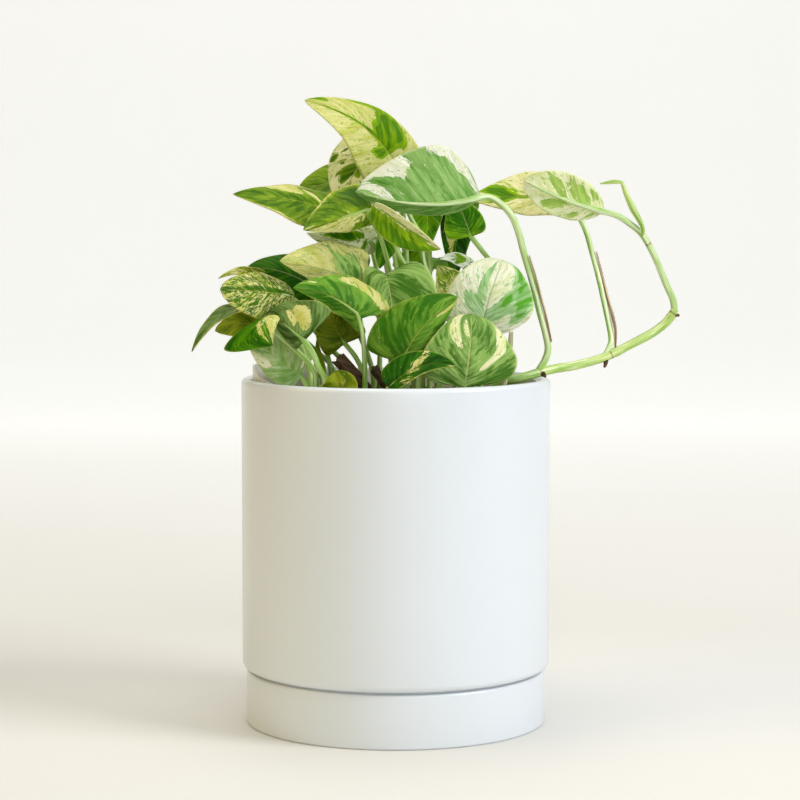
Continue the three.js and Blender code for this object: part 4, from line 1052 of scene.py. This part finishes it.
# The vine, its rings and root nubs, the new shoot, the dried sheaths and the stub. A husk has
# its route, its radii along it and its skin.
vine = dict(
    radius=2.1, sides=24, steps=190, rings=(0.44, 0.7, 0.97), ring=0.16,
    route=(
        (38, -24, 135.5), (38, -24, 143.5), (46, -25, 151.2), (53, -25, 152.7), (61, -21, 154.6),
        (68, -17, 156), (76.5, -14, 157.1), (90.8, -8, 160.6), (103.7, -4, 166.5), (112.8, 0, 171.1),
        (118.5, 1.5, 175.5), (122, 2, 180)),
    nubs=(
        (1.3, ((62.5, -20.5, 154.6), (63.6, -23, 153.8), (64, -24.4, 153.2))),
        (1.3, ((91.2, -8, 160.5), (91, -9, 157.6), (90.4, -9.4, 156.2))),
        (1.0, ((120.6, 1.4, 178), (122.8, 1, 178.4), (124, 0.8, 178.2)))),
)
shoot = dict(
    route=((106.9, -4.6, 213), (107.2, -4.9, 216), (102.5, -3.5, 225.5), (99.6, -3, 232),
           (98, -3, 236.5)),
    radii=(0.7, 1.1, 1.5, 1.2, 0.7),
    tip=((98, -3, 236.2), (95, -3.2, 236.4), (91, -3.6, 236), (88.6, -4, 235.6)),
    tipRadii=(0.7, 1.05, 0.85, 0.3),
)
husks = dict(
    sheath_first=(
        ((57, -22.2, 205), (60.6, -21.4, 193), (64.3, -21.2, 179), (66.7, -21.2, 168)),
        (0.35, 0.5, 0.6, 0.4), huskSkin),
    sheath_second=(
        ((87.7, 4, 206), (91.9, -0.6, 188), (95.4, -4.8, 173), (95.4, -6.6, 164.6)),
        (0.35, 0.7, 0.9, 0.5), huskSkin),
    dried_stub=(
        ((46, -33, 135.5), (46, -33, 150), (48, -33, 160), (49, -33, 173)),
        (1.3, 1.3, 1.25, 1), stubSkin),
)


def between(values, t):
    place = min(max(t, 0), 1) * (len(values) - 1)
    low = min(int(place), len(values) - 2)
    return values[low] + (values[low + 1] - values[low]) * (place - low)


def makeVine():
    def size(t):
        ring = sum(math.exp(-((t - place) / 0.008) ** 2) for place in vine["rings"])
        return vine["radius"] * (0.94 + vine["ring"] * 0.4 * ring + 0.02 * math.sin(40 * t))

    def dent(t, angle):
        return 0.035 * math.cos(3 * angle + 5 * t) + 0.03 * noise.noise(Vector((t * 60, angle, 0)))

    pieces = [makeStem("vineStem", vine["route"], vineSkin, size, vine["sides"], vine["steps"], dent)]
    for thick, route in vine["nubs"]:
        pieces.append(makeStem(
            "rootNub", route, bark, lambda t: thick - (thick - 0.5) * t ** 1.5, 12, 14,
            lambda t, angle: 0.12 * noise.noise(Vector((t * 9, 2 * angle, 1)))))
    finishPiece(joined("vineWhole", *pieces), ["vine"], "stem")


def makeShoot():
    body = makeStem("shootBody", shoot["route"], shootSkin, lambda t: between(shoot["radii"], t), 14, 40,
                    lambda t, angle: 0.2 * math.exp(-((angle - 1) / 0.4) ** 2))
    tip = makeStem("shootTip", shoot["tip"], shootTipSkin, lambda t: between(shoot["tipRadii"], t), 12, 20)
    finishPiece(joined("newShoot", body, tip), ["new_shoot"], "stem")


def makeHusk(name, route, radii, skin):
    item = makeStem(name + "Husk", route, skin, lambda t: between(radii, t), 14, 46,
                    lambda t, angle: 0.22 * noise.noise(Vector((t * 7, 1.4 * angle, len(name)))) + 0.1)
    finishPiece(item, [name], "bark")


makeVine()
makeShoot()
for name, husk in husks.items():
    makeHusk(name, *husk)
print("vine and husks done")
